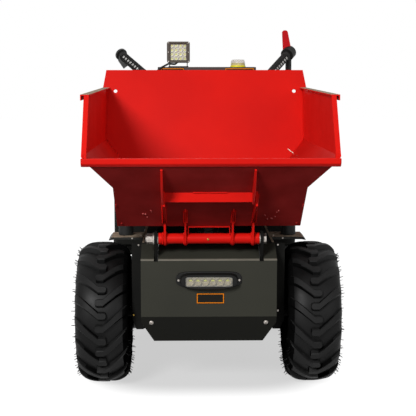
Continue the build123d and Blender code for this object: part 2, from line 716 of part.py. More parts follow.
for side, sx in (("left", 1), ("right", -1)):
    axle_y = castor_y + castor_trail
    x = castor_x
    ctyre = turned(tyre(castor_r, castor_w, castor_rim_r, castor_w - 16, castor_shoulder_r), x, axle_y, castor_r)
    crim = turned(rim(castor_rim_r, castor_w - 16, -4, 8, castor_hub_r - 4, wall=5.0), x, axle_y, castor_r)
    chub_half = castor_w / 2 + fork_gap - 3
    chub = rod_x(castor_hub_r, -chub_half, chub_half, axle_y, castor_r)
    chub = Pos(x, 0, 0) * (chub - rod_x(castor_axle_r + castor_axle_fit, -chub_half, chub_half, axle_y, castor_r))
    crim = crim + chub
    crim = crim - rod_x(castor_axle_r + castor_axle_fit, x - chub_half, x + chub_half, axle_y, castor_r)
    leg_x = castor_w / 2 + fork_gap
    fork = slab(x - leg_x - fork_t, x + leg_x + fork_t, castor_y - fork_w / 2 - 8, castor_y + fork_w / 2 + 8, crown_z, head_z)
    for lx in (x - leg_x - fork_t, x + leg_x):
        leg = side_plate([
            (castor_y - fork_w / 2, head_z), (castor_y + fork_w / 2, head_z), (axle_y + 22, castor_r + 30),
            (axle_y + 22, castor_r - 14), (axle_y + 10, castor_r - 22), (axle_y - 10, castor_r - 22),
            (axle_y - 22, castor_r - 14), (castor_y - fork_w / 2, castor_r + 70)], lx, lx + fork_t)
        fork = fork + leg
    fork = fork - rod_x(castor_axle_r, x - leg_x - fork_t, x + leg_x + fork_t, axle_y, castor_r)
    fork = fork + rod_z(head_r, x, castor_y, head_z, head_z + head_h - head_fit)
    fork = fork - rod_z(swivel_pin_r + swivel_fit, x, castor_y, crown_z, head_z + head_h)
    axle_bolt = rod_x(castor_axle_r, x - leg_x - fork_t - 8, x + leg_x + fork_t + 8, axle_y, castor_r)
    ends = rod_x(13, x - leg_x - fork_t - 8, x - leg_x - fork_t, axle_y, castor_r) + \
        rod_x(13, x + leg_x + fork_t, x + leg_x + fork_t + 8, axle_y, castor_r)
    plate = slab(x - top_plate_w / 2, x + top_plate_w / 2, castor_y - top_plate_l / 2, castor_y + top_plate_l / 2,
                 plate_z, beam_z)
    pin = rod_z(swivel_pin_r, x, castor_y, crown_z - 6, plate_z)
    pin = pin + rod_z(swivel_pin_r + 5, x, castor_y, crown_z - 8, crown_z - 1)
    pieces = {"castor_tyre_": ctyre, "castor_rim_": crim, "castor_fork_": fork + axle_bolt + ends}
    for name, solid in pieces.items():
        nodes[name + side] = solid if sx > 0 else flip(solid)
    plate = plate + pin
    add_to("castor_beam", plate if sx > 0 else flip(plate))

# ---------------------------------------------------------------- battery box, column and console

box = slab(-box_half, box_half, box_front_y, box_back_y, box_z, box_top)
box = fillet(box.edges().filter_by(Axis.Z), box_corner_r)
hollow = slab(-box_half + box_wall, box_half - box_wall, box_front_y + box_wall, box_back_y - box_wall, box_z + box_wall,
              box_top)
hollow = fillet(hollow.edges().filter_by(Axis.Z), box_corner_r - box_wall)
nodes["battery_box"] = box - hollow
lid = slab(-box_half - lid_over, box_half + lid_over, box_front_y - lid_over, box_back_y + lid_over, box_top, box_top + lid_t)
lid = fillet(lid.edges().filter_by(Axis.Z), box_corner_r + lid_over)
nodes["battery_lid"] = lid
blocks = []
for bx in (-battery_l / 2 - 12, battery_l / 2 + 12):
    blocks.append(slab(bx - battery_l / 2, bx + battery_l / 2, castor_y - 150, castor_y - 150 + battery_w,
                       box_z + box_wall, box_z + box_wall + battery_h))
nodes["battery_blocks"] = blocks[0] + blocks[1]

column = slab(bar_centre_x - column_half, bar_centre_x + column_half, column_y0, column_y1, box_top + lid_t, console_z)
column = fillet(column.edges().filter_by(Axis.Z), 12.0)
inside = slab(bar_centre_x - column_half + column_wall, bar_centre_x + column_half - column_wall, column_y0 + column_wall,
              column_y1 - column_wall, box_top + lid_t, console_z)
inside = fillet(inside.edges().filter_by(Axis.Z), 12.0 - column_wall)
nodes["control_column"] = column - inside

console = side_plate([
    (console_y0, console_z), (console_y0, console_top), (console_y0 + console_flat, console_top), (console_y1, console_top - console_drop),
    (console_y1, console_z + 8), (console_y1 - 14, console_z)], console_x0, console_x1)
console = fillet(console.edges().filter_by(Axis.Z), 8.0)
nodes["console"] = console

# ---------------------------------------------------------------- handlebars

for side, sx in (("left", 1), ("right", -1)):
    start = (bar_centre_x + sx * bar_base_x, bar_base_y, console_top - bar_base_drop)
    knee = (bar_knee_mid + sx * bar_knee_x, bar_knee_y, console_top - bar_knee_drop)
    end = (bar_end_mid + sx * bar_end_x, bar_end_y, console_top + bar_end_rise)
    run_out = (Vector(*end) - Vector(*knee)).normalized()
    g0 = tuple(Vector(*end) - run_out * (grip_len + cap_len))
    g1 = tuple(Vector(*end) - run_out * cap_len)
    bar = rod_between(bar_r, start, knee) + Pos(*knee) * Sphere(bar_r) + rod_between(bar_r, knee, g1)
    add_to("handlebars", bar - nodes["console"])
    grip = rod_between(grip_r, g0, g1) - rod_between(bar_r, g0, g1)
    if sx < 0:
        # the thumb switch hangs under the outer end of the grip on this side
        nodes["grip_" + side] = grip + rod_between(cap_r, g1, end)
        tip_at = Vector(*end) - run_out * (cap_len + 8)
        switch = end_plate([(-17, -17), (3, -46), (21, -32), (10, -12), (6, 0), (-12, 0)], -switch_d / 2, switch_d / 2)
        nodes["thumb_switch"] = Pos(*tip_at) * switch - rod_between(grip_r, g0, g1) - rod_between(cap_r, g1, end)
    else:
        nodes["grip_" + side] = grip
        house = rod_between(house_r, g1, tuple(Vector(*g1) + run_out * house_len))
        post_at = Vector(*g1) + run_out * (house_len / 2)
        post = rod_z(post_r, post_at.X, post_at.Y, post_at.Z - house_r - post_h, post_at.Z)
        nodes["lever_housing"] = house + post - grip - nodes["handlebars"]
        blade_top = post_at + Vector(-lever_lean, 0, house_r + lever_h)
        blade = end_plate([
            (post_at.X - lever_base_lean - lever_w / 2, post_at.Z), (post_at.X - lever_base_lean + lever_w / 2, post_at.Z),
            (blade_top.X + lever_tip_w / 2, blade_top.Z), (blade_top.X - lever_tip_w / 2, blade_top.Z)],
            post_at.Y - lever_t / 2, post_at.Y + lever_t / 2)
        blade = fillet(blade.edges().filter_by(Axis.Y).group_by(Axis.Z)[-1], lever_tip_w * 0.46)
        nodes["red_lever"] = blade - nodes["lever_housing"] - nodes["grip_left"] - nodes["handlebars"]

# ---------------------------------------------------------------- lights

light_z0 = console_top + light_up
light_z1 = light_z0 + light_h
body = slab(light_x - light_w / 2, light_x + light_w / 2, light_y - light_d / 2, light_y + light_d / 2, light_z0, light_z1)
body = fillet(body.edges().filter_by(Axis.Y), 7.0)
pocket = slab(light_x - light_lens / 2, light_x + light_lens / 2, light_y - light_d / 2, light_y - light_d / 2 + 9,
              light_z0 + (light_h - light_lens) / 2, light_z1 - (light_h - light_lens) / 2)
pane = slab(light_x - light_lens / 2, light_x + light_lens / 2, light_y - light_d / 2 + 5, light_y - light_d / 2 + 9,
            light_z0 + (light_h - light_lens) / 2, light_z1 - (light_h - light_lens) / 2)
nodes["work_light_body"] = body - pocket
nodes["work_light_lens"] = pane
foot = slab(light_x - 34, light_x + 34, light_y - 12, light_y + 12, console_top, console_top + 3)
for sx in (1, -1):
    foot = foot + slab(light_x + sx * light_leg_x - 1.5, light_x + sx * light_leg_x + 1.5, light_y - 12, light_y + 12, console_top,
                       light_z0)
nodes["work_light_bracket"] = foot
cable_path = FilletPolyline(
    (light_x + 3, light_y - 6, light_z0 + 8), (light_x - 11, light_y - 15, light_z0 - 4.5),
    (light_x - 34, light_y - 24, light_z0 - 3), (light_x - 62, light_y - 36, console_top - 4),
    (console_x0 - 6, light_y - 30, console_top - 18), (console_x0 - 6, light_y - 8, console_top - 32),
    (console_x0 + 8, light_y - 4, console_top - 35), radius=cable_bend_r)
cable_plane = Plane(origin=cable_path @ 0, z_dir=cable_path % 0)
nodes["work_light_cable"] = sweep(cable_plane * Circle(cable_r), path=cable_path) - nodes["work_light_body"] \
    - nodes["console"] - nodes["work_light_bracket"]
beacon_base = rod_z(beacon_r, beacon_x, beacon_y, console_top, console_top + beacon_base_h)
dome = rod_z(beacon_r - 1, beacon_x, beacon_y, console_top + beacon_base_h, console_top + beacon_base_h + beacon_h)
dome = fillet(dome.edges().group_by(Axis.Z)[-1], 9.0)
nodes["beacon_base"] = beacon_base
nodes["beacon_dome"] = dome

# towing eye on the back of the box
tow_z = box_z + tow_z_up
tow = slab(-tow_half, tow_half, box_back_y, box_back_y + tow_out, tow_z - tow_t / 2, tow_z + tow_t / 2)
tow = fillet(tow.edges().filter_by(Axis.Z).group_by(Axis.Y)[-1], tow_half * 0.9)
nodes["tow_eye"] = tow - rod_z(tow_hole_r, 0, box_back_y + tow_out - 22, tow_z - 20, tow_z + 20)

# the origin goes to the middle of the overall length
y_low = min(n.bounding_box().min.Y for n in nodes.values())
y_high = max(n.bounding_box().max.Y for n in nodes.values())
y_mid = (y_low + y_high) / 2

os.makedirs("parts", exist_ok=True)
for name, shape in nodes.items():
    export_step(Pos(0, -y_mid, 0) * shape, os.path.join("parts", name + ".step"))
print("moved by", round(-y_mid, 4), "nodes", len(nodes))
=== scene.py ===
import json
import math
import random

import bmesh
import bpy
from mathutils import Matrix, Vector

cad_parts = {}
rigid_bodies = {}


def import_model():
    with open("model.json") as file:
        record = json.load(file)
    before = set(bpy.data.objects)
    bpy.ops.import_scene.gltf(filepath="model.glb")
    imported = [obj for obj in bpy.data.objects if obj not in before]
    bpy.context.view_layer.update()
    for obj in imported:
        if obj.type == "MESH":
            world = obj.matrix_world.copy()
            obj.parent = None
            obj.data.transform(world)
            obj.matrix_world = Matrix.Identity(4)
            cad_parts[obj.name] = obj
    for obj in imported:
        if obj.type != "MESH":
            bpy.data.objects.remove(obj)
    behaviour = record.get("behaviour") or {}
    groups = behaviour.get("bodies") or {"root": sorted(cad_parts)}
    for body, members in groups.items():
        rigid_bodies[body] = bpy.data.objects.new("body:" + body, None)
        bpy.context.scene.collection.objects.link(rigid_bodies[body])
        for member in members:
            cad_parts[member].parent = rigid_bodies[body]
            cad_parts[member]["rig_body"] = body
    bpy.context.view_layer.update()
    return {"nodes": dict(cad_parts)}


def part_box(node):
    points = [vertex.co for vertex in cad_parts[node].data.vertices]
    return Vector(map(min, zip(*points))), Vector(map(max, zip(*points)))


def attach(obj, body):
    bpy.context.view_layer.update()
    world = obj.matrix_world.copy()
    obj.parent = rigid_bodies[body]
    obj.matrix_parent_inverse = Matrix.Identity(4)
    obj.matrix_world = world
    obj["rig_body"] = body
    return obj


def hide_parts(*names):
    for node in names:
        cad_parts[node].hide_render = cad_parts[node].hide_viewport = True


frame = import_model()
nodes = frame["nodes"]
scene = bpy.context.scene
mm = 0.001


# small helpers

def linearColour(hexText):
    parts = [int(hexText[i:i + 2], 16) / 255 for i in (1, 3, 5)]
    return tuple(c / 12.92 if c <= 0.04045 else ((c + 0.055) / 1.055) ** 2.4 for c in parts) + (1.0,)


def addNode(tree, kind, inputs=None, **settings):
    node = tree.nodes.new(kind)
    for name, value in settings.items():
        setattr(node, name, value)
    for name, value in (inputs or {}).items():
        if isinstance(value, bpy.types.NodeSocket):
            tree.links.new(value, node.inputs[name])
        else:
            node.inputs[name].default_value = value
    return node


def calc(tree, operation, *values):
    return addNode(tree, "ShaderNodeMath", dict(enumerate(values)), operation=operation).outputs[0]


def polar(radius, angle):
    return radius * math.cos(angle), radius * math.sin(angle)


def moved(shape, matrix):
    points, faces = shape
    return [matrix @ Vector(p) for p in points], faces


def joined(*shapes):
    points, faces = [], []
    for shapePoints, shapeFaces in shapes:
        start = len(points)
        points += [Vector(p) for p in shapePoints]
        faces += [tuple(i + start for i in face) for face in shapeFaces]
    return points, faces


def inMetres(rows):
    return [tuple(v * mm for v in row) for row in rows]


def facing(origin, direction):
    # turns a shape drawn up +Z so that it points along the direction, and puts it at the origin given
    turn = Vector(direction).normalized().to_track_quat("Z", "Y").to_matrix().to_4x4()
    return Matrix.Translation(Vector(origin)) @ turn


def lathe(profile, steps=48, ring=False):
    # profile is (radius, height) up the Z axis; a radius of 0 is a pole; ring joins the last point to the first
    points, rows = [], []
    for radius, height in profile:
        if radius < 1e-7:
            rows.append([len(points)])
            points.append(Vector((0, 0, height)))
        else:
            rows.append(list(range(len(points), len(points) + steps)))
            points += [Vector((*polar(radius, k * math.tau / steps), height)) for k in range(steps)]
    pairs = list(zip(rows, rows[1:])) + ([(rows[-1], rows[0])] if ring else [])
    faces = []
    for low, high in pairs:
        for k in range(steps):
            n = (k + 1) % steps
            if len(low) == 1 and len(high) > 1:
                faces.append((low[0], high[n], high[k]))
            elif len(high) == 1 and len(low) > 1:
                faces.append((low[k], low[n], high[0]))
            elif len(low) > 1:
                faces.append((low[k], low[n], high[n], high[k]))
    return points, faces


def loft(loops):
    # skins a row of closed loops that all have the same number of points, and caps both ends
    count = len(loops[0])
    points = [Vector(p) for loop in loops for p in loop]
    faces = []
    for row in range(len(loops) - 1):
        for k in range(count):
            n = (k + 1) % count
            faces.append((row * count + k, row * count + n, (row + 1) * count + n, (row + 1) * count + k))
    faces.append(tuple(reversed(range(count))))
    faces.append(tuple(range((len(loops) - 1) * count, len(loops) * count)))
    return points, faces


def roundedLoop(halfWide, halfHigh, radius, corner=5):
    # closed outline in the XY plane, anticlockwise
    out = []
    for cx, cy, start in ((1, 1, 0), (-1, 1, 90), (-1, -1, 180), (1, -1, 270)):
        for k in range(corner + 1):
            x, y = polar(radius, math.radians(start + 90 * k / corner))
            out.append((cx * (halfWide - radius) + x, cy * (halfHigh - radius) + y))
    return out


def slabShape(low, high, edge=0.0006):
    # a block with a small chamfer on its upright edges and its rims
    halfX, halfY = (high[0] - low[0]) / 2, (high[1] - low[1]) / 2
    middle = Vector(((high[0] + low[0]) / 2, (high[1] + low[1]) / 2, 0))
    loops = []
    for inset, z in ((edge, low[2]), (0, low[2] + edge), (0, high[2] - edge), (edge, high[2])):
        loops.append([middle + Vector((x, y, z)) for x, y in roundedLoop(halfX - inset, halfY - inset, edge * 1.5, 2)])
    return loft(loops)


def meshOf(name, shape, sharpAngle=32):
    mesh = bpy.data.meshes.new(name)
    mesh.from_pydata([tuple(p) for p in shape[0]], [], shape[1])
    mesh.validate()
    build = bmesh.new()
    build.from_mesh(mesh)
    bmesh.ops.remove_doubles(build, verts=build.verts, dist=1e-6)
    bmesh.ops.recalc_face_normals(build, faces=build.faces)
    build.to_mesh(mesh)
    build.free()
    mesh.shade_smooth()
    mesh.set_sharp_from_angle(angle=math.radians(sharpAngle))
    return mesh


def putObject(name, data):
    holder = bpy.data.objects.new(name, data)
    scene.collection.objects.link(holder)
    return holder


def addPiece(name, shape, material, body="chassis", sharpAngle=32, stands=(), slotName=None):
    # stands names the CAD nodes that the piece is seen in place of
    mesh = shape if isinstance(shape, bpy.types.Mesh) else meshOf(name, shape, sharpAngle)
    piece = putObject(name, mesh)
    if not mesh.materials:
        mesh.materials.append(material)
    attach(piece, body)
    if stands:
        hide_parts(*stands)
    return piece


def addTurned(name, profile, steps, origin, direction, material, body="chassis", ring=False, **more):
    # a turned piece on an axis of its own
    return addPiece(name, moved(lathe(profile, steps, ring), facing(origin, direction)), material, body, **more)


def spanOf(node):
    # the two corners of the node's box, its middle and half its size
    low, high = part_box(node)
    return low, high, (low + high) / 2, (high - low) / 2


def middleOf(node):
    return spanOf(node)[2]


def bodyOf(node):
    return nodes[node]["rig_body"]


def softened(node, width, material, segments=2, angle=28):
    # the node's own shape, merged, with its folded and cut edges rounded by width, in millimetres
    build = bmesh.new()
    build.from_mesh(nodes[node].data)
    bmesh.ops.remove_doubles(build, verts=build.verts, dist=2e-6)
    bmesh.ops.dissolve_limit(build, angle_limit=math.radians(0.6), verts=build.verts, edges=build.edges)
    bmesh.ops.recalc_face_normals(build, faces=build.faces)
    shape = ([v.co.copy() for v in build.verts], [tuple(v.index for v in f.verts) for f in build.faces])
    build.free()
    piece = addPiece(node + "Edged", shape, material, bodyOf(node), angle, stands=(node,))
    edges = piece.modifiers.new("edges", "BEVEL")
    edges.width = width * mm
    edges.segments = segments
    edges.limit_method = "ANGLE"
    edges.angle_limit = math.radians(angle)
    edges.harden_normals = True
    return piece


def coatFaces(piece, material, wanted):
    # the faces picked out by the test take a second finish
    piece.data.materials.append(material)
    for face in piece.data.polygons:
        if wanted(face):
            face.material_index = len(piece.data.materials) - 1


# materials; their sizes and depths are in millimetres

def emptyTree(owner):
    owner.use_nodes = True
    owner.node_tree.nodes.clear()
    return owner.node_tree


def startMaterial(name):
    material = bpy.data.materials.new(name)
    tree = emptyTree(material)
    shader = addNode(tree, "ShaderNodeBsdfPrincipled")
    addNode(tree, "ShaderNodeOutputMaterial", {"Surface": shader.outputs[0]})
    place = addNode(tree, "ShaderNodeTexCoord").outputs["Object"]
    return material, tree, shader, place


def speckle(tree, place, size, detail=2.0):
    return addNode(tree, "ShaderNodeTexNoise", {"Vector": place, "Scale": 1000 / size, "Detail": detail}).outputs[0]


def spread(tree, value, low, high, first=0.0, last=1.0):
    # first and last are the values that give low and high
    return addNode(tree, "ShaderNodeMapRange", {
        "Value": value, "From Min": first, "From Max": last, "To Min": low, "To Max": high}).outputs[0]


def cloudMix(tree, place, cloud, first, second, low=0.35, high=0.65):
    # two tones that drift into each other over patches of the size given
    share = spread(tree, speckle(tree, place, cloud, 3.0), 0.0, 1.0, low, high)
    return addNode(tree, "ShaderNodeMix", {0: share, 6: first, 7: second}, data_type="RGBA").outputs[2], share


def addBump(tree, shader, height, depth, before=None):
    inputs = {"Height": height, "Distance": depth * mm, "Strength": 1.0}
    if before is not None:
        inputs["Normal"] = before
    bump = addNode(tree, "ShaderNodeBump", inputs)
    tree.links.new(bump.outputs[0], shader.inputs["Normal"])
    return bump.outputs[0]


def surface(name, first, second, cloud, rough, drift, gloss=0.5, metal=0.0):
    # what all opaque finishes share: two close tones, and a roughness that drifts with them
    material, tree, shader, place = startMaterial(name)
    tone, share = cloudMix(tree, place, cloud, linearColour(first), linearColour(second))
    tree.links.new(tone, shader.inputs["Base Color"])
    tree.links.new(spread(tree, share, rough, rough + drift), shader.inputs["Roughness"])
    shader.inputs["Specular IOR Level"].default_value = gloss
    shader.inputs["Metallic"].default_value = metal
    return material, tree, shader, place


def paint(name, first, second, cloud, rough, gloss, drift=0.1, peel=2.5, peelDepth=0.03, wave=0.6):
    # polyester powder coat on sheet steel: a slight orange peel over long waves in the sheet
    material, tree, shader, place = surface(name, first, second, cloud, rough, drift, gloss)
    before = addBump(tree, shader, speckle(tree, place, peel), peelDepth)
    addBump(tree, shader, speckle(tree, place, 160, 1.0), wave, before)
    return material


def plated(name, first, second, cloud, rough, grit, depth):
    # bare or zinc-plated metal, passivated: close tones in patches over a fine grit
    material, tree, shader, place = surface(name, first, second, cloud, rough, 0.12, metal=1.0)
    addBump(tree, shader, speckle(tree, place, grit, 3.0), depth)
    return material


def rubber(name, first, second, cloud, rough, gloss, grain, depth):
    # moulded carbon-black rubber: greyer where the mould was worn, with a fine grain
    material, tree, shader, place = surface(name, first, second, cloud, rough, 0.12, gloss)
    addBump(tree, shader, speckle(tree, place, grain, 4.0), depth)
    return material


def plastic(name, first, second, cloud, rough, gloss, depth):
    # injection-moulded plastic with a spark-eroded grain, drawn at 1.6 mm, coarser than real, so that it shows
    material, tree, shader, place = surface(name, first, second, cloud, rough, 0.08, gloss)
    grain = addNode(tree, "ShaderNodeTexVoronoi", {"Vector": place, "Scale": 1000 / 1.6})
    addBump(tree, shader, grain.outputs[0], depth)
    return material


def clearPlastic(name, tint, alpha, rough, flow):
    # clear polycarbonate, moulded: faint haze, tiny flow marks
    material, tree, shader, place = startMaterial(name)
    shader.inputs["Base Color"].default_value = linearColour(tint)
    shader.inputs["Alpha"].default_value = alpha
    haze = speckle(tree, place, flow)
    tree.links.new(spread(tree, haze, rough, rough + 0.06), shader.inputs["Roughness"])
    addBump(tree, shader, haze, 0.02)
    return material


# the skip's paint, darker copies of it as painted shade on its underside and chines, and a pale pink as painted
# highlights on weld spatter
redPaint = paint("redPowderCoatSprayed", "#DC1A12", "#D11610", 240, 0.36, 0.08, 0.08, peel=3.0, wave=1.2)
# a darker copy of the red for down-facing faces: painted shade
redUndersideShadePaint = paint("redPowderCoatShadedUnderside", "#AA2826", "#93201E", 90, 0.62, 0.08, peel=3.0,
                      peelDepth=0.04, wave=1.2)
# a darker copy of the red for the chine slopes: painted shade
chineShadePaint = paint("redPowderCoatShaded", "#C81811", "#BE150F", 240, 0.45, 0.05, 0.08, peel=3.0, wave=1.2)
# the pale pink of the spatter drops is painted highlight
spatterHighlightPaint = paint("redPowderCoatSpatterHighlight", "#C4605E", "#B04A48", 8, 0.4, 0.2, peel=2.0, wave=0.2)

# the chassis paint, in the light, in painted shade and in deeper painted shade inside the wheels, and a tan painted
# reflection on its up-facing tops
blackPaint = paint("blackPowderCoatSatin", "#232321", "#2B2A27", 120, 0.42, 0.16)
darkPaint = paint("blackPowderCoatShaded", "#171716", "#1D1D1B", 120, 0.6, 0.05)
# a darker copy of the black for the inside of the wheels: painted shade
wheelShadePaint = paint("blackPowderCoatShadedInsideWheel", "#131312", "#181817", 120, 0.8, 0.0)
# tan for up-facing tops: a painted reflection of the light surroundings
topSheenPaint = paint("tanSheenOnPowderCoat", "#BBA994", "#94826F", 14, 0.8, 0.05, peel=2.0,
                   peelDepth=0.08, wave=0.1)

# the front panel's paint: its flat, a painted highlight along its upper bend, and painted shade on its down-facing foot
olivePaint = paint("oliveBlackPowderCoatSatin", "#31312B", "#35352E", 260, 0.46, 0.11, drift=0.06,
                   peelDepth=0.025, wave=0.8)
bendHighlightPaint = paint("oliveBlackPowderCoatBendHighlight", "#6E6A60", "#625E54", 60, 0.4, 0.2, drift=0.06,
                  peelDepth=0.025, wave=0.4)
# a darker copy of the olive for the down-facing foot: painted shade
footShadePaint = paint("oliveBlackPowderCoatShadedFoot", "#1B1B18", "#20201C", 200, 0.6, 0.06, drift=0.06,
                  peelDepth=0.025, wave=0.8)
lampAlloy = paint("charcoalDieCastCoated", "#463F38", "#50483F", 20, 0.5, 0.35, peel=1.5,
                  peelDepth=0.06, wave=0.1)

# metals: bright and weathered plating, a bare sheet edge, turned brass and the actuator's chromed rod
zincSteel = plated("zincPlatedSteel", "#D9DADC", "#CFC7B4", 9, 0.26, 0.8, 0.02)
dullZinc = plated("zincPlatedSteelWeathered", "#B3ADA7", "#8E8882", 7, 0.42, 0.8, 0.03)
edgeSteel = plated("bareSheetEdge", "#D8CFC4", "#B9A893", 5, 0.5, 1.0, 0.05)
brass = plated("turnedBrass", "#A8863E", "#8C6C30", 6, 0.24, 0.8, 0.02)
chromedRod = plated("hardChromedRod", "#E2E3E6", "#D6D8DC", 30, 0.1, 1.5, 0.004)

# rubbers: tread bars, the polished casing between them, inner sidewalls with their gloss taken off as painted shade,
# and the skip's buffers
tyreRubber = rubber("tyreRubberMoulded", "#131313", "#1A1A1A", 35, 0.5, 0.15, 2.2, 0.12)
casingRubber = rubber("tyreRubberPolishedMould", "#0B0B0B", "#101010", 45, 0.42, 0.14, 4.0, 0.1)
sidewallShadeRubber = rubber("tyreRubberShadedSidewall", "#0B0B0B", "#101010", 45, 0.7, 0.0, 4.0, 0.1)
softRubber = rubber("bufferRubberMoulded", "#121212", "#1A1A19", 20, 0.6, 0.3, 1.5, 0.06)

# plastics of the console, the grips, the lamps, the beacon and the batteries
blackPlastic = plastic("blackAbsMoulded", "#1C1C1B", "#232322", 60, 0.42, 0.4, 0.05)
consolePlastic = plastic("brownBlackAbsMoulded", "#332622", "#3B2C28", 60, 0.48, 0.4, 0.05)
bezelPlastic = plastic("blackPolycarbonateGloss", "#101010", "#151514", 60, 0.35, 0.16, 0.01)
gripPlastic = plastic("blackGripMoulded", "#100F0E", "#161514", 20, 0.55, 0.25, 0.05)
# pale grey for the pads on the grips: painted highlight
gripHighlightPlastic = plastic("greyPolishedGripHighlight", "#A8A6A2", "#B8B6B2", 12, 0.16, 0.7, 0.005)
redPlastic = plastic("redNylonMoulded", "#C40812", "#CC0C16", 30, 0.45, 0.12, 0.03)
batteryPlastic = plastic("greyPolypropyleneMoulded", "#3A3B3D", "#444547", 50, 0.5, 0.4, 0.05)
yellowPlastic = plastic("yellowPolycarbonate", "#F2E600", "#E8DA00", 15, 0.3, 0.5, 0.02)
whiteCup = plastic("whitePolycarbonateMoulded", "#EDEBDF", "#E2DFCF", 6, 0.35, 0.4, 0.01)
trayPlastic = plastic("greyTrayMoulded", "#A1967A", "#8A8068", 9, 0.3, 0.5, 0.02)
oliveSilicone = plastic("olivePhosphorSilicone", "#B6BA2E", "#C6C94A", 4, 0.3, 0.5, 0.02)
chipSilicone = plastic("yellowPhosphorSilicone", "#D6D84A", "#E6E870", 4, 0.3, 0.5, 0.02)
clearLens = clearPlastic("clearPolycarbonateLens", "#F4F4EE", 0.1, 0.06, 12)
clearDome = clearPlastic("clearPolycarbonateDome", "#D9CFC6", 0.3, 0.1, 10)

plateLook = {"colour": "#15130F", "border": "#E8820C", "line": 0.0036, "margin": 0.0012}


def plateFace(name, centre, half):
    # black vinyl plate with a printed amber border and nothing else on it; half is across and up
    material, tree, shader, place = startMaterial(name)
    split = addNode(tree, "ShaderNodeSeparateXYZ", {"Vector": place})
    reach = [calc(tree, "ABSOLUTE", calc(tree, "SUBTRACT", split.outputs[axis], centre[axis])) for axis in (0, 2)]
    line = [calc(tree, "GREATER_THAN", r, h - plateLook["line"]) for r, h in zip(reach, half)]
    inside = [calc(tree, "LESS_THAN", r, h - plateLook["margin"]) for r, h in zip(reach, half)]
    amount = calc(tree, "MULTIPLY", calc(tree, "MAXIMUM", *line), calc(tree, "MINIMUM", *inside))
    ground = linearColour(plateLook["colour"])
    mix = addNode(tree, "ShaderNodeMix", {0: amount, 6: ground, 7: linearColour(plateLook["border"])}, data_type="RGBA")
    tone, share = cloudMix(tree, place, 12, mix.outputs[2], ground, 0.55, 1.4)
    tree.links.new(tone, shader.inputs["Base Color"])
    shader.inputs["Roughness"].default_value = 0.5
    shader.inputs["Specular IOR Level"].default_value = 0.1
    addBump(tree, shader, speckle(tree, place, 1.5), 0.02)
    return material


print("materials ready")


# geometry node trees

def nodeTree(name, sockets):
    tree = bpy.data.node_groups.new(name, "GeometryNodeTree")
    for label, kind in sockets.items():
        tree.interface.new_socket(label, in_out="INPUT", socket_type="NodeSocket" + kind)
    tree.interface.new_socket("Geometry", in_out="OUTPUT", socket_type="NodeSocketGeometry")
    return tree, addNode(tree, "NodeGroupInput").outputs


def endTree(tree, points, shape, turn, finish, size=(1, 1, 1)):
    # puts the shape on every point and gives it the finish
    put = addNode(tree, "GeometryNodeInstanceOnPoints", {
        "Points": points, "Instance": shape, "Rotation": turn, "Scale": size})
    real = addNode(tree, "GeometryNodeRealizeInstances", {"Geometry": put.outputs[0]})
    coated = addNode(tree, "GeometryNodeSetMaterial", {"Geometry": real.outputs[0], "Material": finish})
    addNode(tree, "NodeGroupOutput", {0: coated.outputs[0]})
    return tree


def makeRepeatTree():
    # puts a shape on every point, turned to the point's axis, with a little spin and size play
    tree, given = nodeTree("shapesOnPoints", {
        "Points": "Geometry", "Shape": "Object", "Smallest": "Float", "Largest": "Float", "Spin": "Float",
        "Seed": "Int", "Finish": "Material"})
    axis = addNode(tree, "GeometryNodeInputNamedAttribute", {"Name": "axis"}, data_type="FLOAT_VECTOR")
    turn = addNode(tree, "FunctionNodeAlignRotationToVector", {"Vector": axis.outputs[0]}, axis="Z")
    spin = addNode(tree, "FunctionNodeRandomValue", {3: given["Spin"], "Seed": given["Seed"]}, data_type="FLOAT")
    spinXyz = addNode(tree, "ShaderNodeCombineXYZ", {2: spin.outputs[1]})
    about = addNode(tree, "FunctionNodeEulerToRotation", {0: spinXyz.outputs[0]})
    turned = addNode(tree, "FunctionNodeRotateRotation", {0: turn.outputs[0], 1: about.outputs[0]},
                     rotation_space="LOCAL")
    size = addNode(tree, "FunctionNodeRandomValue", {2: given["Smallest"], 3: given["Largest"], "Seed": given["Seed"]},
                   data_type="FLOAT")
    shape = addNode(tree, "GeometryNodeObjectInfo", {0: given["Shape"]}).outputs["Geometry"]
    return endTree(tree, given["Points"], shape, turned.outputs[0], given["Finish"], size.outputs[1])


def makeRingTree():
    # repeats one shape round a wheel's axle, which runs along X through the hub
    tree, given = nodeTree("shapeRoundHub", {
        "Shape": "Geometry", "Count": "Int", "Hub": "Vector", "Start": "Float", "Finish": "Material"})
    line = addNode(tree, "GeometryNodeMeshLine", {
        "Count": given["Count"], "Start Location": given["Hub"], "Offset": (0, 0, 0)})
    back = addNode(tree, "ShaderNodeVectorMath", {0: given["Hub"], 1: (-1, -1, -1)}, operation="MULTIPLY")
    local = addNode(tree, "GeometryNodeTransform", {"Geometry": given["Shape"], "Translation": back.outputs[0]})
    index = addNode(tree, "GeometryNodeInputIndex").outputs[0]
    angle = calc(tree, "MULTIPLY_ADD", index, calc(tree, "DIVIDE", math.tau, given["Count"]), given["Start"])
    about = addNode(tree, "ShaderNodeCombineXYZ", {0: angle})
    turn = addNode(tree, "FunctionNodeEulerToRotation", {0: about.outputs[0]})
    return endTree(tree, line.outputs[0], local.outputs[0], turn.outputs[0], given["Finish"])


repeatTree = makeRepeatTree()
ringTree = makeRingTree()


def runTree(name, data, tree, values, body, sharpAngle=32):
    # runs the tree on the mesh, keeps the plain mesh that comes out and drops the rest
    source = putObject(name + "Source", data)
    step = source.modifiers.new("repeat", "NODES")
    step.node_group = tree
    for item in tree.interface.items_tree:
        if item.in_out == "INPUT" and item.name in values:
            step[item.identifier] = values[item.name]
    seen = bpy.context.evaluated_depsgraph_get()
    mesh = bpy.data.meshes.new_from_object(source.evaluated_get(seen))
    bpy.data.objects.remove(source)
    mesh.name = name
    mesh.shade_smooth()
    mesh.set_sharp_from_angle(angle=math.radians(sharpAngle))
    if "axis" in mesh.attributes:
        mesh.attributes.remove(mesh.attributes["axis"])
    return addPiece(name, mesh, values["Finish"], body)


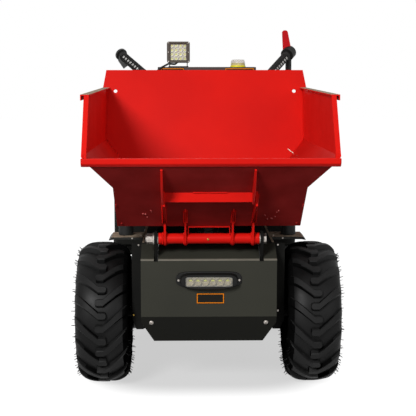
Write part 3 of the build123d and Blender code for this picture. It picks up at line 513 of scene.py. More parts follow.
def repeatOn(name, shape, places, material, body="chassis", smallest=1.0, largest=1.0, spin=0.0, seed=1,
             sharpAngle=32):
    # places is a list of (point, axis)
    pattern = bpy.data.objects.new(name + "Pattern", meshOf(name + "Pattern", shape))
    points = bpy.data.meshes.new(name + "Points")
    points.from_pydata([tuple(p) for p, axis in places], [], [])
    store = points.attributes.new("axis", "FLOAT_VECTOR", "POINT")
    for k, (p, axis) in enumerate(places):
        store.data[k].vector = Vector(axis).normalized()
    piece = runTree(name, points, repeatTree, {
        "Shape": pattern, "Smallest": smallest, "Largest": largest, "Spin": spin, "Seed": seed, "Finish": material},
        body, sharpAngle)
    bpy.data.objects.remove(pattern)
    return piece


# shapes that repeat

def hexBolt(across, height, washer):
    # hexagon head with chamfered rim on a washer
    r = across / 2 / math.cos(math.pi / 6)
    loops = [[(*polar(r * share, k * math.pi / 3), washer + z) for k in range(6)]
             for share, z in ((1, -0.0004), (1, height * 0.82), (0.9, height))]
    w = across * 0.62
    rounds = lathe([(0, -0.0006), (w, -0.0006), (w, washer * 0.8), (w - washer * 0.2, washer), (0, washer)], 24)
    return joined(loft(loops), rounds)


def headShape(radius, height, sunk, profile, steps):
    # a screw head drawn in shares of its radius and height, on a foot sunk into the surface
    return lathe([(0, -sunk), (radius, -sunk)] + [(radius * r, height * z) for r, z in profile], steps)


def domeBolt(radius, height):
    # button head with a round socket
    profile = ((1, 0.18), (0.9, 0.6), (0.68, 0.9), (0.42, 1), (0.38, 1), (0.36, 0.45), (0, 0.45))
    return headShape(radius, height, 0.0008, profile, 24)


def panScrew(radius, height):
    return headShape(radius, height, 0.0005, ((1, 0.45), (0.8, 0.9), (0.3, 1), (0, 1)), 20)


def weldRipple(radius):
    # one ripple of a weld bead, drawn across the Z axis
    return lathe([(radius * r, radius * z) for r, z in ((0, -0.75), (0.7, -0.5), (1, 0), (0.7, 0.5), (0, 0.75))], 8)


def seam(points, pitch):
    # points every pitch along a run of straight stretches, each with the stretch's direction
    out = []
    for a, b in zip(points, points[1:]):
        a, b = Vector(a), Vector(b)
        count = max(1, int((b - a).length / pitch))
        out += [(a + (b - a) * (k + 0.5) / count, b - a) for k in range(count)]
    return out


# camera: a long lens a little above the skip's rim, left of the middle
view = {"place": (-0.065, -3.5003, 0.94), "yaw": 1.154, "pitch": 7.349, "lens": 97.96}
cameraData = bpy.data.cameras.new("camera")
cameraData.lens = view["lens"]
cameraData.sensor_width = 36
cameraData.clip_end = 100
camera = putObject("camera", cameraData)
camera.location = view["place"]
camera.rotation_euler = (math.radians(90 - view["pitch"]), 0, math.radians(-view["yaw"]))
scene.camera = camera

# studio: a pale floor with a painted grey shade patch under the machine that fades to white, a soft key from the front
# left, a weak fill and a weaker lamp above
studio = {
    "key": {"place": (-1.75, -4.5, 2.7), "aim": (0, 0, 0.65), "size": 1.3, "power": 208},
    "fill": {"place": (2.4, -4.0, 1.8), "aim": (0, 0, 0.5), "size": 2.2, "power": 30},
    "top": {"place": (0.2, 0.6, 3.4), "aim": (0, 0.1, 0.5), "size": 2.6, "power": 12},
    "sky": 0.2, "floorTone": "#757575", "floorLift": 0.575, "floorDark": 0.05,
    "shadePatch": {"middle": (0.0, 0.55), "half": (0.43, 1.0)}, "fadeFrom": 0.81, "fadeTo": 1.0}
for name in ("key", "fill", "top"):
    lamp = bpy.data.lights.new(name, "AREA")
    lamp.shape = "DISK"
    lamp.size = studio[name]["size"]
    lamp.energy = studio[name]["power"]
    holder = putObject(name, lamp)
    holder.location = studio[name]["place"]
    toward = Vector(studio[name]["aim"]) - Vector(studio[name]["place"])
    holder.rotation_euler = toward.to_track_quat("-Z", "Y").to_euler()

scene.view_settings.view_transform = "Standard"
world = bpy.data.worlds.new("studio")
scene.world = world
sky = emptyTree(world)
white = linearColour("#FFFFFF")


def seenRays(tree):
    # 1 for what the camera sees straight, in gloss or through clear plastic
    path = addNode(tree, "ShaderNodeLightPath").outputs
    direct = calc(tree, "MAXIMUM", path["Is Camera Ray"], path["Is Glossy Ray"])
    return calc(tree, "MAXIMUM", direct, path["Is Transmission Ray"])


air = addNode(sky, "ShaderNodeBackground", {"Color": white, "Strength": spread(sky, seenRays(sky), studio["sky"], 1.0)})
addNode(sky, "ShaderNodeOutputWorld", {"Surface": air.outputs[0]})

floorMesh = bpy.data.meshes.new("floor")
floorMesh.from_pydata([(-15, -15, 0), (15, -15, 0), (15, 15, 0), (-15, 15, 0)], [], [(0, 1, 2, 3)])
putObject("floor", floorMesh)
floorMaterial = bpy.data.materials.new("paleStudioFloor")
tree = emptyTree(floorMaterial)
place = addNode(tree, "ShaderNodeTexCoord").outputs["Object"]
split = addNode(tree, "ShaderNodeSeparateXYZ", {"Vector": place})
# how far out of the painted shade patch a spot lies, 1 on its edge, which is a rounded rectangle
corners = []
for axis, middle, half in zip((0, 1), studio["shadePatch"]["middle"], studio["shadePatch"]["half"]):
    share = calc(tree, "DIVIDE", calc(tree, "SUBTRACT", split.outputs[axis], middle), half)
    corners.append(calc(tree, "POWER", calc(tree, "ABSOLUTE", share), 4.0))
away = calc(tree, "POWER", calc(tree, "ADD", *corners), 0.25)
# inside the patch the floor glows less, a painted shade under the machine; the real shadow also shows there
lift = addNode(tree, "ShaderNodeMapRange", {
    "Value": away, "From Min": studio["fadeFrom"], "From Max": studio["fadeTo"], "To Min": studio["floorLift"],
    "To Max": 1.0}, interpolation_type="SMOOTHSTEP")
glow = addNode(tree, "ShaderNodeEmission", {"Color": white, "Strength": lift.outputs[0]})
paleSide = addNode(tree, "ShaderNodeBsdfDiffuse", {"Color": linearColour(studio["floorTone"])})
darkSide = addNode(tree, "ShaderNodeBsdfDiffuse", {"Color": (studio["floorDark"],) * 3 + (1,)})
shown = addNode(tree, "ShaderNodeAddShader", {0: glow.outputs[0], 1: paleSide.outputs[0]})
either = addNode(tree, "ShaderNodeMixShader", {0: seenRays(tree), 1: darkSide.outputs[0], 2: shown.outputs[0]})
addNode(tree, "ShaderNodeOutputMaterial", {"Surface": either.outputs[0]})
floorMesh.materials.append(floorMaterial)
print("camera, lights and floor ready")


# front tyres: casing, chevron bars and the vent hairs left by the mould

tyreLook = {
    "bars": 17, "barDepth": 0.014, "crownPower": 2.8, "bulgeRadius": 0.15, "beadRadius": 0.101, "beadHalf": 0.063,
    "wall": 0.011, "noseReach": 0.014, "noseStraight": 0.007, "slant": 41,
    "barHalfInner": 0.0105, "barHalfOuter": 0.0142,
    "outerPhase": {"left": 15.4, "right": 8.3}, "slim": 0.0025, "hairLength": 0.01, "hairThick": 0.0011,
    "hairs": 220, "hairSeed": 4,
    # the sidewall from the bulge in to the bead, as (in from the widest point, radius), in millimetres
    "sidewall": ((5.5, 141), (4.5, 139), (6.5, 136), (9, 124), (7.5, 122), (9.5, 119), (13, 111))}


def crownPoint(turn, halfWide, radius, sink=0.0):
    # (distance from the wheel's middle, radius) on the tyre's outer curve, sunk by the depth given
    power, bulge = 2 / tyreLook["crownPower"], tyreLook["bulgeRadius"]
    s, c = math.sin(math.radians(turn)), max(0.0, math.cos(math.radians(turn)))
    across = math.copysign(abs(s) ** power, s) * (halfWide - sink * 0.08)
    return across, bulge + (radius - sink - bulge) * c ** power


def roundAxle(across, radius, angle):
    # the axle runs along X, and the angle is taken from the wheel's front upwards
    y, z = polar(radius, angle)
    return across, -y, z


def casingProfile(halfWide, radius):
    depth, wall = tyreLook["barDepth"], tyreLook["wall"]
    outer = [crownPoint(t, halfWide, radius, depth) for t in range(-90, 91, 6)]
    beadHalf, beadRadius = tyreLook["beadHalf"], tyreLook["beadRadius"]
    side = [(halfWide - inset, r) for inset, r in inMetres(tyreLook["sidewall"])]
    side += [(beadHalf, beadRadius), (beadHalf - 0.013, beadRadius), (halfWide - 0.022, 0.125),
             (halfWide - 0.018, 0.15)]
    inner = [crownPoint(t, halfWide - wall, radius - wall, depth) for t in range(60, -61, -15)]
    return [(r, a) for a, r in outer + side + inner + [(-a, r) for a, r in reversed(side)]]


def barShape(halfWide, radius, side):
    # one bar at the front of the wheel, from its nose at the middle out over the shoulder
    slope = math.tan(math.radians(tyreLook["slant"]))
    reach, straight, depth = tyreLook["noseReach"], tyreLook["noseStraight"], tyreLook["barDepth"]
    thin, thick = tyreLook["barHalfInner"], tyreLook["barHalfOuter"]
    stations = [(-reach - 0.0015, 0.0045), (-reach, 0.0085), (-reach + 0.005, thin)]
    stations += [(straight * k, thin) for k in (-0.4, 0.6, 1.0)]
    limit, steps = halfWide * 0.9995, 14
    for k in range(1, steps + 1):
        stations.append((straight + (limit - straight) * (k / steps) ** 0.75, thin + (thick - thin) * k / steps))
    loops = []
    for across, half in stations:
        share = min(1.0, abs(across) / halfWide) ** (tyreLook["crownPower"] / 2)
        turn = math.degrees(math.asin(share)) * (1 if across > 0 else -1)
        along = max(0.0, across - straight) * slope
        loop = []
        for shift, sink in ((-half - 0.0035, depth + 0.003), (-half, 0.0028), (-half + 0.0024, 0.0),
                            (half - 0.0024, 0.0), (half, 0.0028), (half + 0.0035, depth + 0.003)):
            a, r = crownPoint(turn, halfWide, radius, sink)
            loop.append(roundAxle(side * a, r, (along + shift) / radius))
        loops.append(loop)
    foot, footRadius = [], 0.138
    for shift in (-1, -0.85, -0.7, 0.7, 0.85, 1):
        angle = ((limit - straight) * slope + shift * thick) / radius
        foot.append(roundAxle(side * (halfWide - 0.008), footRadius, angle))
    return loft(loops + [foot])


def hairPlaces(hub, halfWide, radius, outward):
    # roots and directions of the vent hairs; those on the inner side are left only near the ground
    rng = random.Random(tyreLook["hairSeed"] + int(outward))
    places = []
    for k in range(tyreLook["hairs"]):
        face = 1 if k % 2 else -1
        angle = math.tau * (k + rng.uniform(-0.3, 0.3)) / tyreLook["hairs"]
        spot = rng.choice((60, 68, 82, 90))
        rise = rng.uniform(0.6, 1.6) if spot < 70 else rng.uniform(0.1, 0.6)
        a, r = crownPoint(face * spot, halfWide, radius, 0.001)
        root = hub + Vector(roundAxle(a, r, angle))
        lean = Vector(roundAxle(face, rise, angle))
        if root.z > 0.012 and (face == outward or root.z < hub.z - 0.05):
            places.append((root - lean.normalized() * 0.001, lean))
    return places


def makeTyre(side, outward):
    node = "front_tyre_" + side
    low, high, hub, half = spanOf(node)
    halfWide, radius, body = half.x - tyreLook["slim"], half.z, bodyOf(node)
    casing = addTurned("tyreCasing" + side.capitalize(), casingProfile(halfWide, radius), 120, hub, (1, 0, 0),
                       casingRubber, body, ring=True, sharpAngle=40, stands=(node,))
    # the inner sidewall takes the glossless rubber, which is painted shade
    coatFaces(casing, sidewallShadeRubber, lambda face: face.normal.x * outward < -0.5)
    halfStep = math.pi / tyreLook["bars"]
    pair = joined(barShape(halfWide, radius, outward),
                  moved(barShape(halfWide, radius, -outward), Matrix.Rotation(-halfStep, 4, "X")))
    pairMesh = meshOf("barPair", moved(pair, Matrix.Translation(hub)), 25)
    start = -math.radians(tyreLook["outerPhase"][side])
    bars = runTree("treadBars" + side.capitalize(), pairMesh, ringTree, {
        "Count": tyreLook["bars"], "Hub": hub, "Start": start, "Finish": tyreRubber}, body, 25)
    # the bars' inner ends take the glossless rubber, which is painted shade
    coatFaces(bars, sidewallShadeRubber, lambda face: face.normal.x * outward < -0.6)
    length, thick = tyreLook["hairLength"], tyreLook["hairThick"]
    hair = lathe([(0, 0), (thick, 0), (thick * 0.7, length), (0, length)], 5)
    places = hairPlaces(hub, halfWide, radius, outward)
    repeatOn("ventHairs" + side.capitalize(), hair, places, tyreRubber, body, 0.6, 1.1, seed=7)


# outlines as (radius, out from the wheel's middle), in millimetres
rimLook = {
    "barrel": ((103.5, -72.5), (104.5, -70), (100, -69), (99.5, -52), (88, -44), (88, 30), (99.5, 52), (100, 69),
               (104.5, 70), (103.5, 72.5), (96.5, 70), (95, 54), (85.5, 34), (85.5, -46), (95, -54), (96.5, -70)),
    "disc": ((0, 12), (40, 12), (57, 12), (67, 22), (77, 24), (86.5, 12), (86.5, 16), (78, 28), (66, 26), (56, 17),
             (40, 18), (0, 18)),
    "cap": ((0, 16.5), (33, 16.5), (33, 18), (30, 33), (22, 36), (0, 36)),
    "stem": ((0, 0), (3, 0), (3, 12), (2.2, 13), (2.2, 18), (3.5, 18), (3.5, 25), (0, 26)),
    "bolts": 5, "boltCircle": 0.048, "boltFace": 0.0172}


def makeRim(side, outward):
    # pressed steel wheel: flanges, well, dished disc and a hub cap, with five bolts
    node = "front_rim_" + side
    low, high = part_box(node)
    hub, body = middleOf("front_tyre_" + side), bodyOf(node)
    outside = Vector((outward, 0, 0))
    inward = high.x - hub.x if outward < 0 else hub.x - low.x
    boss = [(0, -inward), (0.04, -inward), (0.042, -inward + 0.002), (0.042, 0.013), (0, 0.013)]
    barrel, disc, cap, stem = (inMetres(rimLook[part]) for part in ("barrel", "disc", "cap", "stem"))
    shape = joined(lathe(barrel, 72, ring=True), lathe(disc, 72), lathe(boss, 48), lathe(cap, 40))
    wheel = addPiece("wheel" + side.capitalize(), moved(shape, facing(hub, outside)), blackPaint, body, 30,
                     stands=(node,))
    # the wheel's inner faces take the darker black, which is painted shade
    coatFaces(wheel, wheelShadePaint, lambda face: face.center.x * outward < hub.x * outward - 0.04)
    circle, bolts = rimLook["boltCircle"], []
    for k in range(rimLook["bolts"]):
        t = math.tau * k / rimLook["bolts"] + 0.3
        bolts.append((hub + Vector((outward * rimLook["boltFace"], *polar(circle, t))), outside))
    repeatOn("wheelBolts" + side.capitalize(), hexBolt(0.013, 0.007, 0.0015), bolts, zincSteel, body, spin=6.0)
    addTurned("valveStem" + side.capitalize(), stem, 12, hub + Vector((outward * 0.05, 0, 0.0915)), (outward, 0, -0.25),
              brass, body)


for side, outward in (("left", 1), ("right", -1)):
    makeTyre(side, outward)
    makeRim(side, outward)
print("front wheels ready")


# castor wheels

castorLook = {"grooveDepth": 0.006, "rimRadius": 0.062, "beadHalf": 0.032, "ribs": (0.003, 0.015, 0.027)}


def makeCastorWheel(side):
    node = "castor_tyre_" + side
    low, high, hub, size = spanOf(node)
    halfWide, radius = size.x, size.z
    groove, bead, rim = castorLook["grooveDepth"], castorLook["beadHalf"], castorLook["rimRadius"]
    half = []
    for a in castorLook["ribs"]:
        half += [(a, radius - groove - a * 0.12), (a + 0.0012, radius - a * 0.12 - 0.0006),
                 (a + 0.0105, radius - a * 0.2 - 0.0012), (a + 0.0115, radius - groove - a * 0.2)]
    wall = inMetres(((5, 12), (1, 26), (0, 40), (2, 52)))
    half = half[:-2] + [(halfWide - inset, radius - down) for inset, down in wall]
    half += [(bead + 0.002, rim + 0.004), (bead, rim), (bead - 0.01, rim)]
    profile = [(r, a) for a, r in half + [(-a, r) for a, r in reversed(half)]]
    addTurned("castorTread" + side.capitalize(), profile, 96, hub, (1, 0, 0), tyreRubber, bodyOf(node), ring=True,
              sharpAngle=25, stands=(node,))


for side in ("left", "right"):
    makeCastorWheel(side)
    softened("castor_rim_" + side, 0.8, blackPaint)
    softened("castor_fork_" + side, 1.2, blackPaint)
print("castors ready")


# skip: every plate keeps its own shape with rounded edges, and the seams get weld beads under the paint

for node in ("skip_floor", "skip_front_plate", "skip_side_left", "skip_side_right", "skip_back"):
    plate = softened(node, 0.9, redPaint)
    if node in ("skip_front_plate", "skip_floor"):
        # down-facing faces of the front plate and floor take the darker red, which is painted shade
        coatFaces(plate, redUndersideShadePaint, lambda face: face.normal.z < -0.25)
    if node.startswith("skip_side"):
        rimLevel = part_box(node)[1].z - 0.001
        # the tops of the rim flanges take the tan painted reflection
        coatFaces(plate, topSheenPaint, lambda face: face.normal.z > 0.9 and face.center.z > rimLevel)
        # the sloping chine faces take the darker red, which is painted shade
        coatFaces(plate, chineShadePaint, lambda face: 0.3 < face.normal.z < 0.9 and abs(face.normal.x) > 0.3)
softened("skip_lip", 2.2, redPaint, segments=3)
# the rod lugs take the darker black, which is painted shade
for node, finish in (("skip_ribs", redPaint), ("pivot_tube", redPaint), ("skip_rod_lugs", darkPaint)):
    softened(node, 0.9, finish)

floorLow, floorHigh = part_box("skip_floor")
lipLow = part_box("skip_lip")[0]
skipLook = {
    "chineLow": 0.113, "chineHigh": 0.2005, "half": 0.325, "rim": 0.3625, "wall": 0.003, "rampTop": 0.196,
    "ribs": ((0.1225, 0.54), (0.0652, 0.27)), "bead": 0.0024, "pitch": 0.003, "backRun": 0.17, "backRise": 0.4225}


def onRamp(x, share, depth=0.0):
    # a point on the underside of the sloping front plate, a share of the way up and below it by depth
    runY, runZ = lipLow.y - floorLow.y, skipLook["rampTop"]
    length = math.hypot(runY, runZ)
    return x, floorLow.y + runY * share - runZ / length * depth, floorLow.z + runZ * share + runY / length * depth


def backAt(height):
    return floorHigh.y + height * skipLook["backRun"] / skipLook["backRise"]


def skipSeams():
    runs = []
    wide, low, floorZ = skipLook["half"] - skipLook["wall"] - 0.001, floorHigh.x - 0.001, floorLow.z
    floorTop = floorZ + 0.0045
    for s in (1, -1):
        # inside: side to back, up the chine and the wall, and side to floor
        corner = [(low, 0.006, 0.002, 0), (low, skipLook["chineLow"], 0.002, 0),
                  (wide, skipLook["chineHigh"], 0.002, 0), (wide, skipLook["rim"], 0.003, 0.002)]
        runs.append([(s * x, backAt(height) - ahead, floorZ + height - drop) for x, height, ahead, drop in corner])
        runs.append([(s * low, floorLow.y + 0.01, floorTop), (s * low, backAt(0.0) - 0.004, floorTop)])
        # below: both faces of each hinge plate against the front plate
        for rib, top in skipLook["ribs"]:
            for face in (-0.0045, 0.0045):
                runs.append([onRamp(s * rib + face, 0.06, 0.0008), onRamp(s * rib + face, top, 0.0008)])
    end = floorHigh.x - 0.01
    runs.append([(x, backAt(0.0) - 0.003, floorTop) for x in (-end, end)])
    return runs


seamPoints = [place for run in skipSeams() for place in seam(run, skipLook["pitch"])]
repeatOn("skipWelds", weldRipple(skipLook["bead"]), seamPoints, redPaint, "skip", 0.8, 1.15, 0.0, 11, 60)

# tack welds left at the outer corners of the front plate, and the bead along the top of the cross plate
tackLook = {"half": 0.2495, "shares": (0.34, 0.385), "low": 0.045, "lowHalf": 0.2385, "bead": 0.0026, "cross": 0.569}
marks = []
for s in (1, -1):
    half, low, lowHalf = tackLook["half"], tackLook["low"], tackLook["lowHalf"]
    marks += seam([onRamp(s * half, share, 0.001) for share in tackLook["shares"]], 0.004)
    marks += seam([onRamp(s * lowHalf, low, 0.001), onRamp(s * (lowHalf + 0.003), low + 0.02, 0.001)], 0.004)
# the tacks sit under the skip and take its darker red, which is painted shade
repeatOn("skipTackWelds", weldRipple(tackLook["bead"]), marks, redUndersideShadePaint, "skip", 0.8, 1.2, 0.0, 12, 60)
crossWeld = seam([onRamp(x, tackLook["cross"], 0.0012) for x in (-0.045, 0.045)], 0.003)
repeatOn("crossPlateWeld", weldRipple(0.0024), crossWeld, redPaint, "skip", 0.8, 1.2, 0.0, 14, 60)

# spatter beside the hinge plates, under the paint, in a paler pink that is painted highlight on the drops
spatter = random.Random(21)
drops = []
for s, count in ((-1, 5), (1, 8)):
    for k in range(count):
        x, share = s * (0.15 + spatter.uniform(0, 0.036)), spatter.uniform(0.12, 0.32)
        drops.append((onRamp(x, share, 0.0004), (0, -0.57, -0.82)))
drop = lathe(inMetres(((0, -1), (1.7, -1), (1.9, 0.8), (1.2, 2.2), (0, 2.6))), 8)
repeatOn("weldSpatter", drop, drops, spatterHighlightPaint, "skip", 0.7, 1.3, seed=5)

# welds round the pivot tube at its collars and hinge plates, and the grease nipple in the middle of the tube
tubeLook = {"rings": (0.1175, 0.1275, 0.0615, 0.069), "radius": 0.0152, "ripples": 26}
pivot = middleOf("pivot_bolt")
tubeWelds = []
for x in tubeLook["rings"]:
    for s in (1, -1):
        for k in range(tubeLook["ripples"]):
            t = math.tau * k / tubeLook["ripples"]
            y, z = polar(tubeLook["radius"], t)
            tubeWelds.append(((s * x, pivot.y + y, pivot.z + z), (0, -math.sin(t), math.cos(t))))
repeatOn("tubeWelds", weldRipple(0.0024), tubeWelds, redPaint, "skip", 0.8, 1.15, 0.0, 13, 60)
nipple = inMetres(((0, -2), (3, -2), (3, 2.5), (2, 3), (1.8, 5), (2.4, 5.6), (1.9, 7.4), (0, 7.6)))
addTurned("greaseNipple", nipple, 12, (-0.0028, pivot.y - 0.0122, pivot.z), (0, -1, 0.05), brass, "skip")

# a short open seam low in the back corner, where the bare edge of the sheet shows
slotLook = {"ends": ((0.268, 0.169), (0.2855, 0.1555)), "wide": 0.0022, "proud": 0.0012}


def openSeam():
    proud = slotLook["proud"]
    ends = [Vector((x, backAt(height) - skipLook["wall"] - proud, floorLow.z + height))
            for x, height in slotLook["ends"]]
    across = Vector((0, -1, 0.4)).cross(ends[1] - ends[0]).normalized() * slotLook["wide"] / 2
    back = Vector((0, proud * 1.5, 0))
    return loft([[p + across, p + across + back, p - across + back, p - across] for p in ends])


addPiece("openSeamEdge", openSeam(), edgeSteel, "skip")
print("skip ready")


# chassis parts that keep their shape, as (rounding in millimetres, finish, segments where not 2, angle where not 28)

keptShapes = {
    "chassis_rails": (1.6, darkPaint), "pivot_ears": (0.6, darkPaint), "front_crossmember": (1.6, darkPaint),
    "actuator_crossmember": (1.2, darkPaint), "castor_beam": (1.6, darkPaint), "control_column": (1.2, blackPaint),
    "tow_eye": (1.2, blackPaint), "work_light_bracket": (0.5, blackPaint), "drive_unit": (1.2, darkPaint),
    "rest_arms": (0.9, blackPaint), "front_panel": (1.3, olivePaint, 2, 20), "battery_box": (1.4, darkPaint),
    "battery_lid": (1.2, blackPaint), "battery_blocks": (4, batteryPlastic), "console": (2.5, consolePlastic, 3),
    "red_lever": (2.6, redPlastic, 3), "thumb_switch": (1.2, blackPlastic), "lever_housing": (1.2, gripPlastic),
    "rest_buffers": (2, softRubber, 3), "pivot_bolt": (0.8, dullZinc), "actuator_barrel": (1, blackPaint),
    "actuator_rod": (0.8, chromedRod), "handlebars": (0.6, blackPaint), "work_light_cable": (0.1, softRubber)}
kept = {node: softened(node, *look) for node, look in keptShapes.items()}
# the arms' tops take the tan painted reflection
coatFaces(kept["rest_arms"], topSheenPaint, lambda face: face.normal.z > 0.9)
# the bend's sloping faces take a lighter olive, which is painted highlight
coatFaces(kept["front_panel"], bendHighlightPaint, lambda face: 0.08 < face.normal.z < 0.88 and face.normal.y < 0)
# the down-facing foot takes the darker olive, which is painted shade
coatFaces(kept["front_panel"], footShadePaint, lambda face: face.normal.z < -0.3)
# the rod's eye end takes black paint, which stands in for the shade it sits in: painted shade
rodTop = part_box("actuator_rod")[1].z
coatFaces(kept["actuator_rod"], blackPaint, lambda face: face.center.z > rodTop - 0.04)

# a tan painted reflection along the top edges of the rails
railLow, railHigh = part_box("chassis_rails")
sheenLook = {"wide": 0.0065, "thick": 0.0004, "start": 0.096, "stop": 0.006, "inset": 0.0006}
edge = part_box("front_panel")[1].x - sheenLook["inset"]
strips = []
for s in (1, -1):
    inner, outer = sorted((s * edge, s * (edge - sheenLook["wide"])))
    strips.append(slabShape((inner, railLow.y + sheenLook["start"], railHigh.z - 0.0001),
                            (outer, railHigh.y - sheenLook["stop"], railHigh.z + sheenLook["thick"]), 0.0001))
addPiece("railDust", joined(*strips), topSheenPaint)
print("chassis ready")


# fasteners on the chassis and panel

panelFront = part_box("front_panel")[0].y
foot = {"z": 0.215, "x": 0.161, "radius": 0.007, "height": 0.0045, "bend": 0.233, "slope": (0.06, 0.083)}
footIn, footUp = foot["slope"]
footY = panelFront + (foot["bend"] - foot["z"]) * footIn / footUp - 0.0002
footBolts = [((s * foot["x"] - 0.0005, footY, foot["z"]), (0, -footUp, -footIn)) for s in (1, -1)]
repeatOn("panelBolts", domeBolt(foot["radius"], foot["height"]), footBolts, dullZinc, spin=1.0)

# small fasteners near the arms, each as (across, behind the axle, up, axis), and one stud low on each side
axleY = middleOf("front_tyre_left").y
armTop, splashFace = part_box("rest_arms")[1].z, -0.1142
smallLook = {"radius": 0.0027, "height": 0.002, "places": (
    (0.1962, 0.027, armTop - 0.0002, (0, 0, 1)), (0.1893, 0.186, armTop - 0.006, (1, 0, 0.2)),
    (0.222, 0.0021, armTop - 0.004, (0, -1, 0)), (0.1985, splashFace, armTop - 0.005, (0, -1, 0)))}
smallScrews = [((s * x, axleY + back, z), (s * axis[0], axis[1], axis[2]))
               for s in (1, -1) for x, back, z, axis in smallLook["places"]]
repeatOn("armScrews", panScrew(smallLook["radius"], smallLook["height"]), smallScrews, dullZinc, spin=3.0)
stud = inMetres(((0, -1), (3.2, -1), (3.2, 4), (1.8, 5), (0, 5)))
for name, x, z, finish in (("studRight", -0.214, 0.2212, brass), ("studLeft", 0.1999, 0.2325, dullZinc)):
    addTurned(name, stud, 12, (x, axleY + splashFace, z), (0, -1, 0), finish)

# four bolts under each castor's top plate
beam = middleOf("castor_beam")
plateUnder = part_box("castor_beam")[1].z - 0.0331
castorBolts = [((middleOf("castor_fork_" + side).x + dx, beam.y + dy, plateUnder), (0, 0, -1))
               for side in ("left", "right") for dx in (-0.034, 0.034) for dy in (-0.036, 0.036)]
repeatOn("castorPlateBolts", hexBolt(0.013, 0.006, 0.0015), castorBolts, zincSteel, spin=3.0)


# lamps: what both have in their window is a tray, cups with their chips, a clear lens, and screws round it

def windowSlab(node, inset, near, far, front):
    # a sheet the size of the lens, between two depths behind the lamp's front
    low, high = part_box(node)
    return slabShape((low.x + inset, front + near, low.z + inset), (high.x - inset, front + far, high.z - inset))


def fitWindow(name, lens, look, front, cups, screws):
    # cups are (across, up) and screws (across, behind the front, up), both from the lamp's middle
    middle = middleOf(lens)
    addPiece(name + "Tray", windowSlab(lens, 0.0001, look["tray"], 0.0104, front), look["cupFinish"])
    forward = (0, -1, 0)
    depth = front + look["cupDepth"]
    places = [((middle.x + x, depth, middle.z + z), forward) for x, z in cups]
    repeatOn(name + "Cups", lathe(inMetres(look["cup"]), look["cupSteps"], ring=True), places, look["cupFinish"],
             sharpAngle=50)
    chips = [((middle.x + x, depth, middle.z + z + look["chipUp"]), forward) for x, z in cups]
    x, y, z, edge = look["chip"]
    repeatOn(name + "Chips", slabShape((-x, -y, -0.0005), (x, y, z), edge), chips, look["chipFinish"])
    sheet = windowSlab(lens, 0.0002, look["lens"], look["lens"] + 0.0012, front)
    addPiece(name + "Lens", sheet, clearLens, stands=(lens,))
    heads = [((middle.x + x, front + behind, middle.z + z), forward) for x, behind, z in screws]
    repeatOn(name + "Screws", panScrew(*look["screw"]), heads, dullZinc)


# front lamp bar: a flush bezel with six reflector cups
lampLook = {
    "cups": 6, "cupPitch": 0.0205, "flange": 0.003, "shoulder": 0.3, "points": 64,
    # bezel steps as (in from the side, in from top and bottom, forward of the flange)
    "steps": ((0, 0, 0), (0.001, 0.001, 0.001), (0.011, 0.003, 0.0015)),
    "cup": ((3.5, 0), (7.5, 3), (9.8, 6.8), (10.2, 6.8), (10.2, 6.2), (7.8, 2.2), (3.5, -1.2)),
    "cupSteps": 20, "cupDepth": 0.0083, "cupFinish": trayPlastic, "tray": 0.0085, "lens": 0.0006,
    "chip": (0.0062, 0.0034, 0.0014, 0.0004), "chipUp": 0.0042, "chipFinish": oliveSilicone,
    "screw": (0.0036, 0.0026), "screwX": 0.0845}


def lampLoop(halfWide, halfHigh, y, centre, window=False):
    # bezel outline, flat arch on top, boat-shaped below, with rounded ends; or its window's, an oblong
    out = []
    for k in range(lampLook["points"]):
        t = math.tau * k / lampLook["points"]
        c, s = math.cos(t), math.sin(t)
        if window:
            reach = (abs(c) ** 9 + abs(s) ** 9) ** (-1 / 9)
            x, z = c * reach * halfWide, s * reach * halfHigh
        else:
            x = math.copysign(abs(c) ** lampLook["shoulder"], c) * halfWide
            droop = 0.55 + 0.45 * max(0.0, 1 - abs(x / halfWide) ** 2.6)
            z = math.copysign(abs(s) ** 0.62, s) * (halfHigh if s > 0 else halfHigh * droop)
        out.append((centre.x + x, y, centre.z + z))
    return out


def makeLampBar():
    low, high, centre, half = spanOf("front_lamp_body")
    lens = spanOf("front_lamp_lens")[3]
    flangeFace, front = high.y - lampLook["flange"], low.y
    loops = [lampLoop(half.x, half.z, high.y, centre)]
    loops += [lampLoop(half.x - across, half.z - up, flangeFace - out, centre) for across, up, out in lampLook["steps"]]
    for across, up, behind in ((0.013, 0.004, 0.003), (0.0145, 0.0055, 0)):
        loops.append(lampLoop(half.x - across, half.z - up, front + behind, centre))
    for more, behind in ((0.0008, 0.0002), (0, 0.0012), (0, 0.0105)):
        loops.append(lampLoop(lens.x + more, lens.z + more, front + behind, centre, window=True))
    addPiece("lampBarBezel", loft(loops), bezelPlastic, sharpAngle=30, stands=("front_lamp_body",))
    cups = [((k - (lampLook["cups"] - 1) / 2) * lampLook["cupPitch"], 0) for k in range(lampLook["cups"])]
    screws = [(s * lampLook["screwX"], flangeFace - 0.0008 - front, 0.001) for s in (1, -1)]
    fitWindow("lampBar", "front_lamp_lens", lampLook, front, cups, screws)


makeLampBar()

low, high, centre, half = spanOf("blank_plate")
softened("blank_plate", 0.4, plateFace("blackVinylPlateAmberBorder", centre, (half.x, half.z)))

# work light: a die-cast square lamp with sixteen cups, cooling fins and six cover screws
workLook = {
    "rows": 4, "cupPitch": 0.0148, "finGap": 0.0072, "finThick": 0.0022,
    # housing steps from the back to the front face, in millimetres: in from the side, corner radius, behind the front
    "steps": ((9, 5, 24), (4, 6, 20), (0, 7, 17), (0, 7, 2.2), (2, 6, 0)),
    # steps of the window: out from the lens, corner radius, behind the front
    "window": ((3.5, 3, 0), (0, 2, 3), (0, 2, 10.5)),
    "cup": ((2.2, 0), (5, 2), (6.8, 4.8), (7.2, 4.8), (7.2, 4.2), (5.2, 1.4), (2.2, -1)),
    "cupSteps": 16, "cupDepth": 0.0086, "cupFinish": whiteCup, "tray": 0.0088, "lens": 0.0024,
    "chip": (0.0026, 0.0026, 0.0011, 0.0003), "chipUp": 0, "chipFinish": chipSilicone,
    "screw": (0.0022, 0.0016), "screwIn": 0.0048}


